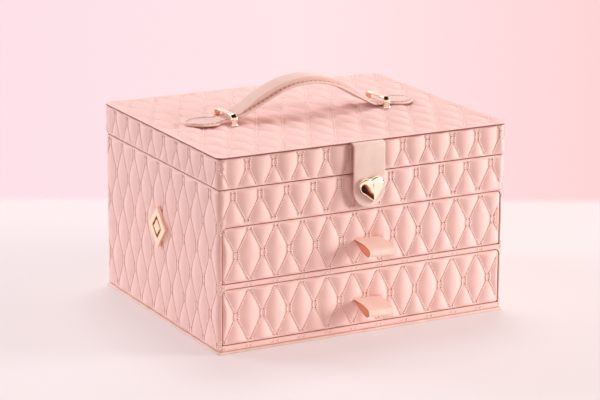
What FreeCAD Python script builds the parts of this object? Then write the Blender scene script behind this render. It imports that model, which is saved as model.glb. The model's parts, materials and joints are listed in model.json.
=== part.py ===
"""Quilted makeup storage case: a box with two drawers, a mirrored lid and a strap handle.

Origin: centre of the base, on the surface that the case stands on.
+X runs to the right, -Y to the front and +Z up. All lengths are millimetres.
"""
import FreeCAD, Part
import math
import os

Vector = FreeCAD.Vector
doc = FreeCAD.newDocument("MakeupCase")

# ---------------------------------------------------------------- driving dimensions

SIZES = {
    # the box
    "box_width": 290.0,
    "box_depth": 238.0,
    "board_thickness": 1.8,
    "cover_thickness": 1.6,
    "edge_radius": 3.2,
    # heights of the case, from the base up
    "base_panel_height": 2.2,
    "base_panel_overhang": 1.0,
    "base_corner_radius": 2.5,
    "base_board_height": 5.3,
    "shelf_height": 4.65,
    "floor_height": 3.0,
    "fascia_height": 33.55,
    # drawers
    "face_height": 49.8,
    "face_gap": 0.5,
    "face_side_gap": 0.9,
    "face_corner_radius": 2.0,
    "drawer_running_gap": 0.3,
    "drawer_back_gap": 2.5,
    "drawer_rim_drop": 4.0,
    "drawer_bottom_height": 2.0,
    "drawer_lining_height": 1.0,
    # ribbon pulls
    "ribbon_width": 24.8,
    "ribbon_thickness": 0.8,
    "ribbon_reach": 27.0,
    "ribbon_droop": 6.1,
    "ribbon_nose_radius": 3.9,
    "ribbon_top_bulge": 0.5,
    "ribbon_bottom_bulge": 1.2,
    "ribbon_offset": 1.8,
    "ribbon_drop": 1.1,
    "ribbon_overlap": 0.98,
    "ribbon_slot_gap": 0.2,
    "ribbon_tail_height": 9.0,
    "ribbon_tail_thickness": 1.6,
    # lid
    "lid_gap": 0.6,
    "lid_side_height": 23.9,
    "lid_board_height": 2.8,
    "lid_padding_height": 1.75,
    "lid_sheet_height": 0.95,
    "lid_rim_overhang": 1.0,
    "lid_rim_slit": 0.5,
    # lid interior
    "mirror_panel_height": 2.8,
    "mirror_panel_drop": 1.0,
    "mirror_border": 22.0,
    "mirror_gap": 0.2,
    "mirror_thickness": 2.0,
    "mirror_corner_radius": 8.0,
    # top compartment
    "lining_thickness": 1.0,
    "divider_thickness": 3.0,
    "divider_height": 24.0,
    "divider_place": 46.0,
    # hinges
    "hinge_width": 34.0,
    "hinge_spacing": 168.0,
    "hinge_leaf_height": 20.0,
    "hinge_leaf_thickness": 1.2,
    "hinge_knuckle_radius": 2.2,
    "hinge_pin_radius": 1.15,
    "hinge_pin_clearance": 0.05,
    "hinge_gap": 0.2,
    "hinge_screw_head_radius": 2.1,
    "hinge_screw_radius": 1.2,
    "hinge_screw_play": 0.02,
    "hinge_screw_head_height": 0.7,
    # clasp
    "clasp_width": 31.6,
    "clasp_thickness": 2.1,
    "clasp_bend_radius": 2.1,
    "clasp_axis_reach": 1.3,
    "clasp_end_height": 117.6,
    "clasp_root_gap": 0.3,
    "clasp_root_rise": 0.3,
    "clasp_end_flat": 0.1,
    "heart_size": 14.6,
    "heart_depth": 4.8,
    "heart_edge_radius": 1.6,
    "heart_height": 132.5,
    "heart_offset": 1.4,
    "heart_tilt": 7.5,
    "magnet_radius": 6.0,
    "magnet_depth": 2.6,
    "keeper_radius": 7.0,
    "magnet_gap": 0.3,
    # handle brackets
    "bracket_spacing": 158.0,
    "bracket_opening": 31.6,
    "bracket_leg": 3.4,
    "bracket_bar_width": 4.8,
    "bracket_bar_height": 2.6,
    "bracket_height": 12.7,
    "bracket_foot_reach": 0.9,
    "bracket_foot_height": 3.4,
    "bracket_round": 0.8,
    "bracket_stud_radius": 1.2,
    "bracket_stud_play": 0.05,
    "bracket_leg_play": 0.1,
    "bracket_plate_width": 10.0,
    "bracket_plate_height": 0.8,
    # handle strap
    "strap_width": 30.0,
    "strap_thickness": 3.0,
    "strap_neck_width": 22.0,
    "strap_crown_radius": 76.0,
    "strap_crown_height": 206.9,
    "strap_slope_left": 25.6,
    "strap_slope_right": 31.6,
    "strap_heel_left": 16.0,
    "strap_heel_right": 34.0,
    "strap_neck_lift_left": 2.0,
    "strap_neck_lift_right": 0.9,
    "strap_neck_reach": 7.0,
    "strap_pad_width": 20.0,
    "strap_pad_thickness": 3.2,
    "tongue_gap": 0.3,
    "tongue_extra_thickness": 0.5,
    "tongue_overlap": 2.0,
    "tongue_start": 8.0,
    "tongue_length": 30.0,
    "tongue_width": 31.2,
    "tongue_shoulder_width": 22.0,
    "tongue_crest": 12.0,
    "tongue_tip_radius": 5.0,
    # ornament on the left side
    "ornament_width": 33.0,
    "ornament_height": 38.0,
    "ornament_depth": 4.0,
    "ornament_band": 5.0,
    "ornament_centre_scale": 0.62,
    "ornament_centre_height": 87.0,
    "ornament_chamfer": 0.8,
}

sheet = doc.addObject("Spreadsheet::Sheet", "Sizes")
for row, (alias, size) in enumerate(SIZES.items(), start=1):
    sheet.set(f"A{row}", alias.replace("_", " "))
    sheet.set(f"B{row}", str(size))
    sheet.setAlias(f"B{row}", alias)
doc.recompute()


def number(text):
    """The value of an expression over the sheet, for the points of a sketch."""
    return float(sheet.evalExpression(text))


# ---------------------------------------------------------------- derived places

HALF_WIDTH = "(Sizes.box_width / 2)"
HALF_DEPTH = "(Sizes.box_depth / 2)"
WALL = "(Sizes.board_thickness + Sizes.cover_thickness)"
BOARD_X = f"({HALF_WIDTH} - Sizes.cover_thickness)"
BOARD_Y = f"({HALF_DEPTH} - Sizes.cover_thickness)"
INNER_X = f"({HALF_WIDTH} - {WALL})"
INNER_Y = f"({HALF_DEPTH} - {WALL})"

BASE_TOP = "Sizes.base_panel_height"
FLOOR_OF_LOWER = f"({BASE_TOP} + Sizes.base_board_height)"
LOWER_FACE = f"({FLOOR_OF_LOWER} + Sizes.face_gap)"
SHELF = f"({LOWER_FACE} + Sizes.face_height + Sizes.face_gap)"
SHELF_TOP = f"({SHELF} + Sizes.shelf_height)"
UPPER_FACE = f"({SHELF_TOP} + Sizes.face_gap)"
FLOOR = f"({UPPER_FACE} + Sizes.face_height + Sizes.face_gap)"
FLOOR_TOP = f"({FLOOR} + Sizes.floor_height)"
CASE_TOP = f"({FLOOR} + Sizes.fascia_height)"
LID_BOTTOM = f"({CASE_TOP} + Sizes.lid_gap)"
LID_BOARD = f"({LID_BOTTOM} + Sizes.lid_side_height)"
LID_BOARD_TOP = f"({LID_BOARD} + Sizes.lid_board_height)"
LID_LIP = f"({LID_BOARD_TOP} + Sizes.lid_padding_height)"
LID_COVER_TOP = f"({LID_LIP} - Sizes.lid_rim_slit)"
LID_PAD_TOP = f"({LID_LIP} + Sizes.lid_sheet_height)"
RIM_X = f"({HALF_WIDTH} + Sizes.lid_rim_overhang)"
RIM_Y = f"({HALF_DEPTH} + Sizes.lid_rim_overhang)"

nodes = []


def keep(piece, label):
    """Names a finished sub-part and lists it for export."""
    piece.Label = label
    nodes.append(piece)
    return piece


# ---------------------------------------------------------------- building blocks

def block(x, y, z, name="Block"):
    """A box between two expressions along each axis."""
    solid = doc.addObject("Part::Box", name)
    sides = (("Length", "x", x), ("Width", "y", y), ("Height", "z", z))
    for side, axis, (low, high) in sides:
        solid.setExpression(side, f"({high}) - ({low})")
        solid.setExpression(f"Placement.Base.{axis}", low)
    return solid


def mirrored(span):
    """The same span on the other side of the middle plane."""
    low, high = span
    return (f"-({high})", f"-({low})")


def both_ways(half):
    """A span centred on the middle plane."""
    return (f"-({half})", half)


def cut(base, *tools):
    """The base with every tool taken out of it."""
    for tool in tools:
        result = doc.addObject("Part::Cut", "Cut")
        result.Base = base
        result.Tool = tool
        base = result
    return base


def fuse(*pieces):
    result = doc.addObject("Part::MultiFuse", "Fuse")
    result.Shapes = list(pieces)
    result.Refine = True
    return result


def group(*pieces):
    """Several separate solids in one sub-part."""
    result = doc.addObject("Part::Compound", "Group")
    result.Links = list(pieces)
    return result


def rounded(base, radius, wanted):
    """The base with the edges that pass the test rounded."""
    doc.recompute()
    size = number(radius)
    chosen = [n for n, edge in enumerate(base.Shape.Edges, start=1) if wanted(edge)]
    result = doc.addObject("Part::Fillet", "Round")
    result.Base = base
    result.Edges = [(n, size, size) for n in chosen]
    return result


def rod(radius, length, place, turn, name="Rod"):
    """A cylinder along the direction that +Z is turned to."""
    solid = doc.addObject("Part::Cylinder", name)
    solid.setExpression("Radius", radius)
    solid.setExpression("Height", length)
    solid.Placement.Rotation = FreeCAD.Rotation(Vector(0, 0, 1), turn)
    for axis, text in zip("xyz", place):
        solid.setExpression(f"Placement.Base.{axis}", text)
    return solid


def upright(edge):
    """A straight edge along Z."""
    run = edge.Vertexes[-1].Point - edge.Vertexes[0].Point
    return len(edge.Vertexes) == 2 and abs(run.z) > 0.1 and math.hypot(run.x, run.y) < 1e-6


def at_corner(edge, half_x, half_y):
    """An upright edge at the outer corner of a rectangle."""
    point = edge.Vertexes[0].Point
    on_x = abs(abs(point.x) - number(half_x)) < 1e-4
    on_y = abs(abs(point.y) - number(half_y)) < 1e-4
    return upright(edge) and on_x and on_y


def sketch_on(body, role, name):
    """An empty sketch on one of the body's own origin planes."""
    sketch = body.newObject("Sketcher::SketchObject", name)
    plane = [f for f in body.Origin.OriginFeatures if f.Role == role][0]
    sketch.AttachmentSupport = [(plane, "")]
    sketch.MapMode = "FlatFace"
    return sketch


def padded_profile(name, role, outline, length, offset=None):
    """A body whose closed outline is padded both ways from an origin plane, or up from an offset."""
    body = doc.addObject("PartDesign::Body", name)
    sketch = sketch_on(body, role, name + "Profile")
    sketch.addGeometry(outline, False)
    if offset:
        sketch.setExpression("AttachmentOffset.Base.z", offset)
    pad = body.newObject("PartDesign::Pad", name + "Pad")
    pad.Profile = sketch
    pad.setExpression("Length", length)
    pad.SideType = "One side" if offset else "Symmetric"
    body.Tip = pad
    doc.recompute()
    return body


def path(*points):
    """A closed outline: each stretch is straight, or an arc where a middle point is given."""
    pieces = []
    start = None
    middle = None
    for kind, u, v in points:
        point = Vector(u, v, 0)
        if kind == "via":
            middle = point
            continue
        if middle is not None:
            pieces.append(Part.Arc(start, middle, point))
        elif start is not None:
            pieces.append(Part.LineSegment(start, point))
        start = point
        middle = None
    return pieces


# ---------------------------------------------------------------- case: boards

base_panel_x = f"{HALF_WIDTH} + Sizes.base_panel_overhang"
base_panel_y = f"{HALF_DEPTH} + Sizes.base_panel_overhang"
base_slab = block(both_ways(base_panel_x), both_ways(base_panel_y), ("0", BASE_TOP))
base_panel = rounded(base_slab, "Sizes.base_corner_radius",
                     lambda edge: at_corner(edge, base_panel_x, base_panel_y))
keep(base_panel, "base_panel")

keep(block(both_ways(INNER_X), (f"-{BOARD_Y}", INNER_Y), (BASE_TOP, FLOOR_OF_LOWER)), "base_board")
keep(block(both_ways(INNER_X), (f"-{BOARD_Y}", INNER_Y), (SHELF, SHELF_TOP)), "drawer_shelf")
keep(block(both_ways(INNER_X), (f"-{INNER_Y}", INNER_Y), (FLOOR, FLOOR_TOP)), "compartment_floor")
keep(block(both_ways(INNER_X), (f"-{BOARD_Y}", f"-{INNER_Y}"), (FLOOR, CASE_TOP)), "fascia_board")
keep(block(both_ways(INNER_X), (INNER_Y, BOARD_Y), (BASE_TOP, CASE_TOP)), "back_board")

for side in ("left", "right"):
    board_x = (INNER_X, BOARD_X)
    if side == "left":
        board_x = mirrored(board_x)
    keep(block(board_x, both_ways(BOARD_Y), (BASE_TOP, CASE_TOP)), f"side_board_{side}")

# ---------------------------------------------------------------- case: quilted covers


def side_cover(side, z):
    """A quilted side cover whose edges fold round the front and back edges of its board."""
    outer_x = (INNER_X, HALF_WIDTH)
    hollow_x = (f"{INNER_X} - 1", BOARD_X)
    if side == "left":
        outer_x = mirrored(outer_x)
        hollow_x = mirrored(hollow_x)
    slab = block(outer_x, both_ways(HALF_DEPTH), z)
    hollow = block(hollow_x, both_ways(BOARD_Y), (f"{z[0]} - 1", f"{z[1]} + 1"))
    return rounded(cut(slab, hollow), "Sizes.edge_radius",
                   lambda edge: at_corner(edge, HALF_WIDTH, HALF_DEPTH))


front_skin_y = (f"-{HALF_DEPTH}", f"-{BOARD_Y}")
back_skin_y = (BOARD_Y, HALF_DEPTH)

keep(side_cover("left", (BASE_TOP, CASE_TOP)), "side_cover_left")
keep(side_cover("right", (BASE_TOP, CASE_TOP)), "side_cover_right")
keep(block(both_ways(INNER_X), back_skin_y, (BASE_TOP, CASE_TOP)), "back_cover")
keep(block(both_ways(INNER_X), front_skin_y, (FLOOR, CASE_TOP)), "fascia_cover")
shelf_trim = block(both_ways(INNER_X), front_skin_y, (SHELF, SHELF_TOP))
base_trim = block(both_ways(INNER_X), front_skin_y, (BASE_TOP, FLOOR_OF_LOWER))
keep(group(base_trim, shelf_trim), "front_edge_trims")

# ---------------------------------------------------------------- case: top compartment

TRAY_X = f"({INNER_X} - Sizes.lining_thickness)"
TRAY_Y = f"({INNER_Y} - Sizes.lining_thickness)"
TRAY_FLOOR = f"({FLOOR_TOP} + Sizes.lining_thickness)"
lining_block = block(both_ways(INNER_X), both_ways(INNER_Y), (FLOOR_TOP, CASE_TOP))
lining_hollow = block(both_ways(TRAY_X), both_ways(TRAY_Y), (TRAY_FLOOR, f"{CASE_TOP} + 1"))
keep(cut(lining_block, lining_hollow), "compartment_lining")

DIVIDER_Z = (TRAY_FLOOR, f"{TRAY_FLOOR} + Sizes.divider_height")
half_divider = "Sizes.divider_thickness / 2"
divider_across = block(both_ways(TRAY_X), both_ways(half_divider), DIVIDER_Z)
keep(divider_across, "divider_across")

divider_x = (f"Sizes.divider_place - {half_divider}", f"Sizes.divider_place + {half_divider}")
short_divider_y = (f"-{TRAY_Y}", f"-({half_divider})")
short_dividers = [
    block(mirrored(divider_x), short_divider_y, DIVIDER_Z),
    block(divider_x, short_divider_y, DIVIDER_Z),
]
keep(group(*short_dividers), "dividers_short")

# ---------------------------------------------------------------- drawers

DRAWER_X = f"({INNER_X} - Sizes.face_side_gap)"
DRAWER_BACK = f"({INNER_Y} - Sizes.drawer_back_gap)"


def ribbon_outline(grow):
    """The leaf shape of a ribbon loop, grown outwards by part of the ribbon's thickness."""
    nose = number("Sizes.ribbon_nose_radius") - grow
    centre_y = -number(f"{HALF_DEPTH} + Sizes.ribbon_reach - Sizes.ribbon_nose_radius")
    centre_z = -number("Sizes.ribbon_droop")
    root_y = -number(HALF_DEPTH)
    half_root = number("Sizes.ribbon_thickness") - grow
    tilt = math.atan2(-centre_z, root_y - centre_y)
    up_y, up_z = -math.sin(tilt), math.cos(tilt)
    top = (centre_y + nose * up_y, centre_z + nose * up_z)
    bottom = (centre_y - nose * up_y, centre_z - nose * up_z)
    front = (centre_y - nose * math.cos(tilt), centre_z - nose * math.sin(tilt))
    upper = ((root_y + top[0]) / 2, (half_root + top[1]) / 2 + number("Sizes.ribbon_top_bulge"))
    lower = ((root_y + bottom[0]) / 2,
             (bottom[1] - half_root) / 2 - number("Sizes.ribbon_bottom_bulge"))
    return path(("to", root_y, half_root), ("via", *upper), ("to", *top), ("via", *front),
                ("to", *bottom), ("via", *lower), ("to", root_y, -half_root),
                ("to", root_y, half_root))


def off_centre(half):
    """A span about the middle of a ribbon."""
    return (f"Sizes.ribbon_offset - ({half})", f"Sizes.ribbon_offset + {half}")


def drawer(name, face_bottom, floor):
    """One drawer: quilted face, front board, walls, bottom, lining and ribbon pull."""
    face_z = (face_bottom, f"{face_bottom} + Sizes.face_height")
    box_z = (f"{floor} + Sizes.drawer_running_gap",
             f"{face_bottom} + Sizes.face_height - Sizes.drawer_rim_drop")
    bottom_z = (box_z[0], f"{box_z[0]} + Sizes.drawer_bottom_height")
    lining_z = (bottom_z[1], f"{bottom_z[1]} + Sizes.drawer_lining_height")
    pull_z = f"({face_bottom} + Sizes.face_height / 2 - Sizes.ribbon_drop)"
    half_slot_x = "Sizes.ribbon_width / 2 + Sizes.ribbon_slot_gap"
    half_slot_z = "Sizes.ribbon_thickness + Sizes.ribbon_slot_gap"
    slot_z = (f"{pull_z} - ({half_slot_z})", f"{pull_z} + {half_slot_z}")
    slot = block(off_centre(half_slot_x), (f"-{HALF_DEPTH} - 1", f"-{INNER_Y} + 1"), slot_z)

    skin = block(both_ways(DRAWER_X), front_skin_y, face_z)
    face = rounded(skin, "Sizes.face_corner_radius",
                   lambda edge: abs(edge.Vertexes[0].Y - edge.Vertexes[-1].Y) > 0.1)
    keep(cut(face, slot), f"{name}_quilted_face")

    board = block(both_ways(DRAWER_X), (f"-{BOARD_Y}", f"-{INNER_Y}"), face_z)
    keep(cut(board, slot), f"{name}_front_board")

    side_x = (f"{DRAWER_X} - Sizes.board_thickness", DRAWER_X)
    side_y = (f"-{INNER_Y}", DRAWER_BACK)
    back_y = (f"{DRAWER_BACK} - Sizes.board_thickness", DRAWER_BACK)
    walls = [
        block(mirrored(side_x), side_y, box_z),
        block(side_x, side_y, box_z),
        block(both_ways(side_x[0]), back_y, box_z),
    ]
    keep(group(*walls), f"{name}_walls")
    bottom_y = (f"-{INNER_Y}", back_y[0])
    keep(block(both_ways(side_x[0]), bottom_y, bottom_z), f"{name}_bottom")
    keep(block(both_ways(side_x[0]), bottom_y, lining_z), f"{name}_lining")

    loop = padded_profile(f"{name}Loop", "YZ_Plane", ribbon_outline(0), "Sizes.ribbon_width")
    hole = padded_profile(f"{name}LoopHole", "YZ_Plane",
                          ribbon_outline(number("Sizes.ribbon_thickness * Sizes.ribbon_overlap")),
                          "Sizes.ribbon_width * 2")
    ring = cut(loop, hole)
    ring.setExpression("Placement.Base.x", "Sizes.ribbon_offset")
    ring.setExpression("Placement.Base.z", pull_z)
    neck_z = (f"{pull_z} - Sizes.ribbon_thickness", f"{pull_z} + Sizes.ribbon_thickness")
    half_ribbon = "Sizes.ribbon_width / 2"
    neck = block(off_centre(half_ribbon), (f"-{HALF_DEPTH}", f"-{INNER_Y}"), neck_z)
    tail_z = (f"{pull_z} - Sizes.ribbon_tail_height / 2", f"{pull_z} + Sizes.ribbon_tail_height / 2")
    tail = block(off_centre(half_ribbon),
                 (f"-{INNER_Y}", f"-{INNER_Y} + Sizes.ribbon_tail_thickness"), tail_z)
    keep(fuse(ring, neck, tail), f"{name}_ribbon_pull")


drawer("drawer_top", UPPER_FACE, SHELF_TOP)
drawer("drawer_bottom", LOWER_FACE, FLOOR_OF_LOWER)

# ---------------------------------------------------------------- lid: boards and covers

lid_side_z = (LID_BOTTOM, LID_BOARD)
lid_cover_z = (LID_BOTTOM, LID_COVER_TOP)
front_board_y = (f"-{BOARD_Y}", f"-{INNER_Y}")
back_board_y = (INNER_Y, BOARD_Y)

keep(block(both_ways(INNER_X), front_board_y, lid_side_z), "lid_front_board")
keep(block(both_ways(INNER_X), back_board_y, lid_side_z), "lid_back_board")
for side in ("left", "right"):
    board_x = (INNER_X, BOARD_X)
    if side == "left":
        board_x = mirrored(board_x)
    keep(block(board_x, both_ways(BOARD_Y), lid_side_z), f"lid_side_board_{side}")
    keep(side_cover(side, lid_cover_z), f"lid_side_cover_{side}")

CLASP_ROOT_TOP = f"{LID_COVER_TOP} + Sizes.clasp_root_rise"
CLASP_ROOT_Z = (f"{CLASP_ROOT_TOP} - Sizes.clasp_thickness", CLASP_ROOT_TOP)
half_clasp = "Sizes.clasp_width / 2"
notch = block(both_ways(f"{half_clasp} + Sizes.clasp_root_gap"),
              (f"-{HALF_DEPTH} - 1", f"-{BOARD_Y} + 1"),
              (f"{CLASP_ROOT_Z[0]} - Sizes.clasp_root_gap", f"{LID_COVER_TOP} + 1"))
keep(cut(block(both_ways(INNER_X), front_skin_y, lid_cover_z), notch), "lid_front_cover")
keep(block(both_ways(INNER_X), back_skin_y, lid_cover_z), "lid_back_cover")

# ---------------------------------------------------------------- lid: top, brackets, mirror

BRACKET_X = "(Sizes.bracket_spacing / 2)"
LEG_Y = "(Sizes.bracket_opening / 2 + Sizes.bracket_leg / 2)"


def foot(x, y, grow, z):
    """The block of a bracket's foot: wider than the leg, but level with it towards the strap."""
    reach = f"Sizes.bracket_foot_reach + {grow}"
    half_x = f"Sizes.bracket_bar_width / 2 + {reach}"
    half_leg = "Sizes.bracket_leg / 2"
    inner = f"{half_leg} + {grow}"
    outer = f"{half_leg} + {reach}"
    near, far = (outer, inner) if y.startswith("-") else (inner, outer)
    return block((f"{x} - ({half_x})", f"{x} + {half_x}"), (f"{y} - ({near})", f"{y} + {far}"), z)


top_board = block(both_ways(BOARD_X), both_ways(BOARD_Y), (LID_BOARD, LID_BOARD_TOP))
padding = block(both_ways(BOARD_X), both_ways(BOARD_Y), (LID_BOARD_TOP, LID_LIP))
sheet_slab = block(both_ways(RIM_X), both_ways(RIM_Y), (LID_LIP, LID_PAD_TOP))
top_sheet = rounded(sheet_slab, "Sizes.edge_radius + Sizes.lid_rim_overhang",
                    lambda edge: at_corner(edge, RIM_X, RIM_Y))
stud_holes = []
leg_holes = []
for x in (f"-{BRACKET_X}", BRACKET_X):
    for y in (f"-{LEG_Y}", LEG_Y):
        stud_holes.append(rod("Sizes.bracket_stud_radius + Sizes.bracket_stud_play", "Sizes.lid_board_height + 2",
                              (x, y, f"{LID_BOARD} - 1"), Vector(0, 0, 1)))
        leg_holes.append(foot(x, y, "Sizes.bracket_leg_play",
                              (f"{LID_BOARD_TOP} - 1", f"{LID_PAD_TOP} + 1")))
keep(cut(top_board, *stud_holes), "lid_top_board")
keep(cut(fuse(padding, top_sheet), *leg_holes), "lid_quilted_top")


def bracket(side):
    """A staple over the strap: bar, two legs, and a stud under each leg."""
    half_open = number("Sizes.bracket_opening / 2")
    half_out = half_open + number("Sizes.bracket_leg")
    top = number("Sizes.bracket_height")
    under = top - number("Sizes.bracket_bar_height")
    outline = path(("to", -half_out, 0), ("to", -half_out, top), ("to", half_out, top),
                   ("to", half_out, 0), ("to", half_open, 0), ("to", half_open, under),
                   ("to", -half_open, under), ("to", -half_open, 0), ("to", -half_out, 0))
    staple = padded_profile(f"Bracket_{side}", "YZ_Plane", outline, "Sizes.bracket_bar_width")
    pad = staple.Tip
    names = []
    for n, edge in enumerate(staple.Shape.Edges, start=1):
        ends = [v.Point for v in edge.Vertexes]
        outer = all(p.z > top - 0.01 or abs(abs(p.y) - half_out) < 0.01 for p in ends)
        if outer and max(p.z for p in ends) > top - 0.01:
            names.append(f"Edge{n}")
    soft = staple.newObject("PartDesign::Fillet", f"BracketRounds_{side}")
    soft.Base = (pad, names)
    soft.setExpression("Radius", "Sizes.bracket_round")
    staple.Tip = soft
    x = BRACKET_X if side == "right" else f"-{BRACKET_X}"
    staple.setExpression("Placement.Base.x", x)
    staple.setExpression("Placement.Base.z", LID_BOARD_TOP)
    stud_length = "Sizes.lid_board_height + Sizes.bracket_plate_height"
    stud_z = f"{LID_BOARD} - Sizes.bracket_plate_height"
    studs = [rod("Sizes.bracket_stud_radius", stud_length, (x, y, stud_z), Vector(0, 0, 1))
             for y in (f"-{LEG_Y}", LEG_Y)]
    foot_z = (LID_BOARD_TOP, f"{LID_BOARD_TOP} + Sizes.bracket_foot_height")
    feet = [foot(x, y, "0", foot_z) for y in (f"-{LEG_Y}", LEG_Y)]
    keep(fuse(staple, *feet, *studs), f"handle_bracket_{side}")


bracket("left")
bracket("right")

plates = []
for x in (f"-{BRACKET_X}", BRACKET_X):
    half_plate = "Sizes.bracket_plate_width / 2"
    plate = block((f"{x} - {half_plate}", f"{x} + {half_plate}"),
                  both_ways(f"{LEG_Y} + {half_plate}"),
                  (f"{LID_BOARD} - Sizes.bracket_plate_height", LID_BOARD))
    holes = [rod("Sizes.bracket_stud_radius + Sizes.bracket_stud_play", "Sizes.bracket_plate_height + 2",
                 (x, y, f"{LID_BOARD} - 2"), Vector(0, 0, 1)) for y in (f"-{LEG_Y}", LEG_Y)]
    plates.append(cut(plate, *holes))
keep(group(*plates), "bracket_backing_plates")

PANEL_TOP = f"({LID_BOARD} - Sizes.mirror_panel_drop)"
PANEL_BOTTOM = f"({PANEL_TOP} - Sizes.mirror_panel_height)"
MIRROR_X = f"({INNER_X} - Sizes.mirror_border)"
MIRROR_Y = f"({INNER_Y} - Sizes.mirror_border)"


def mirror_blank(grow, z):
    half_x = f"{MIRROR_X} + {grow}"
    half_y = f"{MIRROR_Y} + {grow}"
    slab = block(both_ways(half_x), both_ways(half_y), z)
    return rounded(slab, "Sizes.mirror_corner_radius", lambda edge: at_corner(edge, half_x, half_y))


mirror_z = (PANEL_BOTTOM, f"{PANEL_BOTTOM} + Sizes.mirror_thickness")
panel = block(both_ways(INNER_X), both_ways(INNER_Y), (PANEL_BOTTOM, PANEL_TOP))
pocket = mirror_blank("Sizes.mirror_gap", (f"{PANEL_BOTTOM} - 1", mirror_z[1]))
keep(cut(panel, pocket), "mirror_panel")
keep(mirror_blank("0", mirror_z), "mirror")

# ---------------------------------------------------------------- hinges

HINGE_AXIS_Y = f"({HALF_DEPTH} + Sizes.hinge_gap + Sizes.hinge_knuckle_radius)"
HINGE_AXIS_Z = f"({CASE_TOP} + Sizes.lid_gap / 2)"
LEAF_Y = (HALF_DEPTH, f"{HALF_DEPTH} + Sizes.hinge_leaf_thickness")
CLEAR = "(Sizes.hinge_knuckle_radius + Sizes.hinge_gap)"
KNUCKLE = "((Sizes.hinge_width - 2 * Sizes.hinge_gap) / 3)"
ALONG_X = Vector(1, 0, 0)
ALONG_Y = Vector(0, 1, 0)


def hinge_leaf(centre_x, up):
    """A leaf with its knuckles: two outer ones on the case, one in the middle on the lid."""
    half = "Sizes.hinge_width / 2"
    if up:
        plate_z = (f"{HINGE_AXIS_Z} + {CLEAR}", f"{HINGE_AXIS_Z} + Sizes.hinge_leaf_height")
        tab_z = (f"{HINGE_AXIS_Z} + Sizes.lid_gap / 2", plate_z[0])
        starts = [f"{centre_x} - {KNUCKLE} / 2"]
    else:
        plate_z = (f"{HINGE_AXIS_Z} - Sizes.hinge_leaf_height", f"{HINGE_AXIS_Z} - {CLEAR}")
        tab_z = (plate_z[1], f"{HINGE_AXIS_Z} - Sizes.lid_gap / 2")
        starts = [f"{centre_x} - {half}", f"{centre_x} + {half} - {KNUCKLE}"]
    solids = [block((f"{centre_x} - {half}", f"{centre_x} + {half}"), LEAF_Y, plate_z)]
    for start in starts:
        solids.append(block((start, f"{start} + {KNUCKLE}"), LEAF_Y, tab_z))
        solids.append(rod("Sizes.hinge_knuckle_radius", KNUCKLE,
                          (start, HINGE_AXIS_Y, HINGE_AXIS_Z), ALONG_X))
    bore = rod("Sizes.hinge_pin_radius + Sizes.hinge_pin_clearance", "Sizes.hinge_width + 2",
               (f"{centre_x} - {half} - 1", HINGE_AXIS_Y, HINGE_AXIS_Z), ALONG_X)
    return cut(fuse(*solids), bore, *screw_rods(centre_x, up, "Sizes.hinge_screw_radius", 1))


def screw_rods(centre_x, up, radius, extra):
    """Cylinders along the two screws of a leaf, through its thickness."""
    sign = "+" if up else "-"
    z = f"{HINGE_AXIS_Z} {sign} (Sizes.hinge_leaf_height + {CLEAR}) / 2"
    rods = []
    for step in ("-", "+"):
        place = (f"{centre_x} {step} Sizes.hinge_width / 3", f"{HALF_DEPTH} - {extra}", z)
        rods.append(rod(radius, f"Sizes.hinge_leaf_thickness + {2 * extra}", place, ALONG_Y))
    return rods


def screw_heads(centre_x, up):
    """The screws of a leaf: a short shank in the leaf and a flat head on it."""
    sign = "+" if up else "-"
    z = f"{HINGE_AXIS_Z} {sign} (Sizes.hinge_leaf_height + {CLEAR}) / 2"
    screws = []
    for step, shank in zip("-+", screw_rods(centre_x, up, "Sizes.hinge_screw_radius - Sizes.hinge_screw_play", 0)):
        place = (f"{centre_x} {step} Sizes.hinge_width / 3", LEAF_Y[1], z)
        head = rod("Sizes.hinge_screw_head_radius", "Sizes.hinge_screw_head_height", place, ALONG_Y)
        screws.append(fuse(shank, head))
    return screws


hinge_places = ("(-Sizes.hinge_spacing / 2)", "(Sizes.hinge_spacing / 2)")
keep(group(*[hinge_leaf(x, False) for x in hinge_places]), "hinge_leaves_case")
keep(group(*[hinge_leaf(x, True) for x in hinge_places]), "hinge_leaves_lid")
case_screws = [screw for x in hinge_places for screw in screw_heads(x, False)]
lid_screws = [screw for x in hinge_places for screw in screw_heads(x, True)]
keep(group(*case_screws), "hinge_screws_case")
keep(group(*lid_screws), "hinge_screws_lid")
pins = [rod("Sizes.hinge_pin_radius", "Sizes.hinge_width",
            (f"{x} - Sizes.hinge_width / 2", HINGE_AXIS_Y, HINGE_AXIS_Z), ALONG_X)
        for x in hinge_places]
keep(group(*pins), "hinge_pins")

# ---------------------------------------------------------------- clasp

CLASP_AXIS_Y = f"({RIM_Y} + Sizes.clasp_axis_reach)"
CLASP_AXIS_Z = f"({CLASP_ROOT_Z[1]} - Sizes.clasp_thickness / 2)"
root_end = f"-{CLASP_AXIS_Y} + Sizes.clasp_thickness / 2 + Sizes.clasp_root_gap"
keep(block(both_ways(half_clasp), (root_end, f"-{BOARD_Y}"), CLASP_ROOT_Z), "clasp_root")


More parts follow.
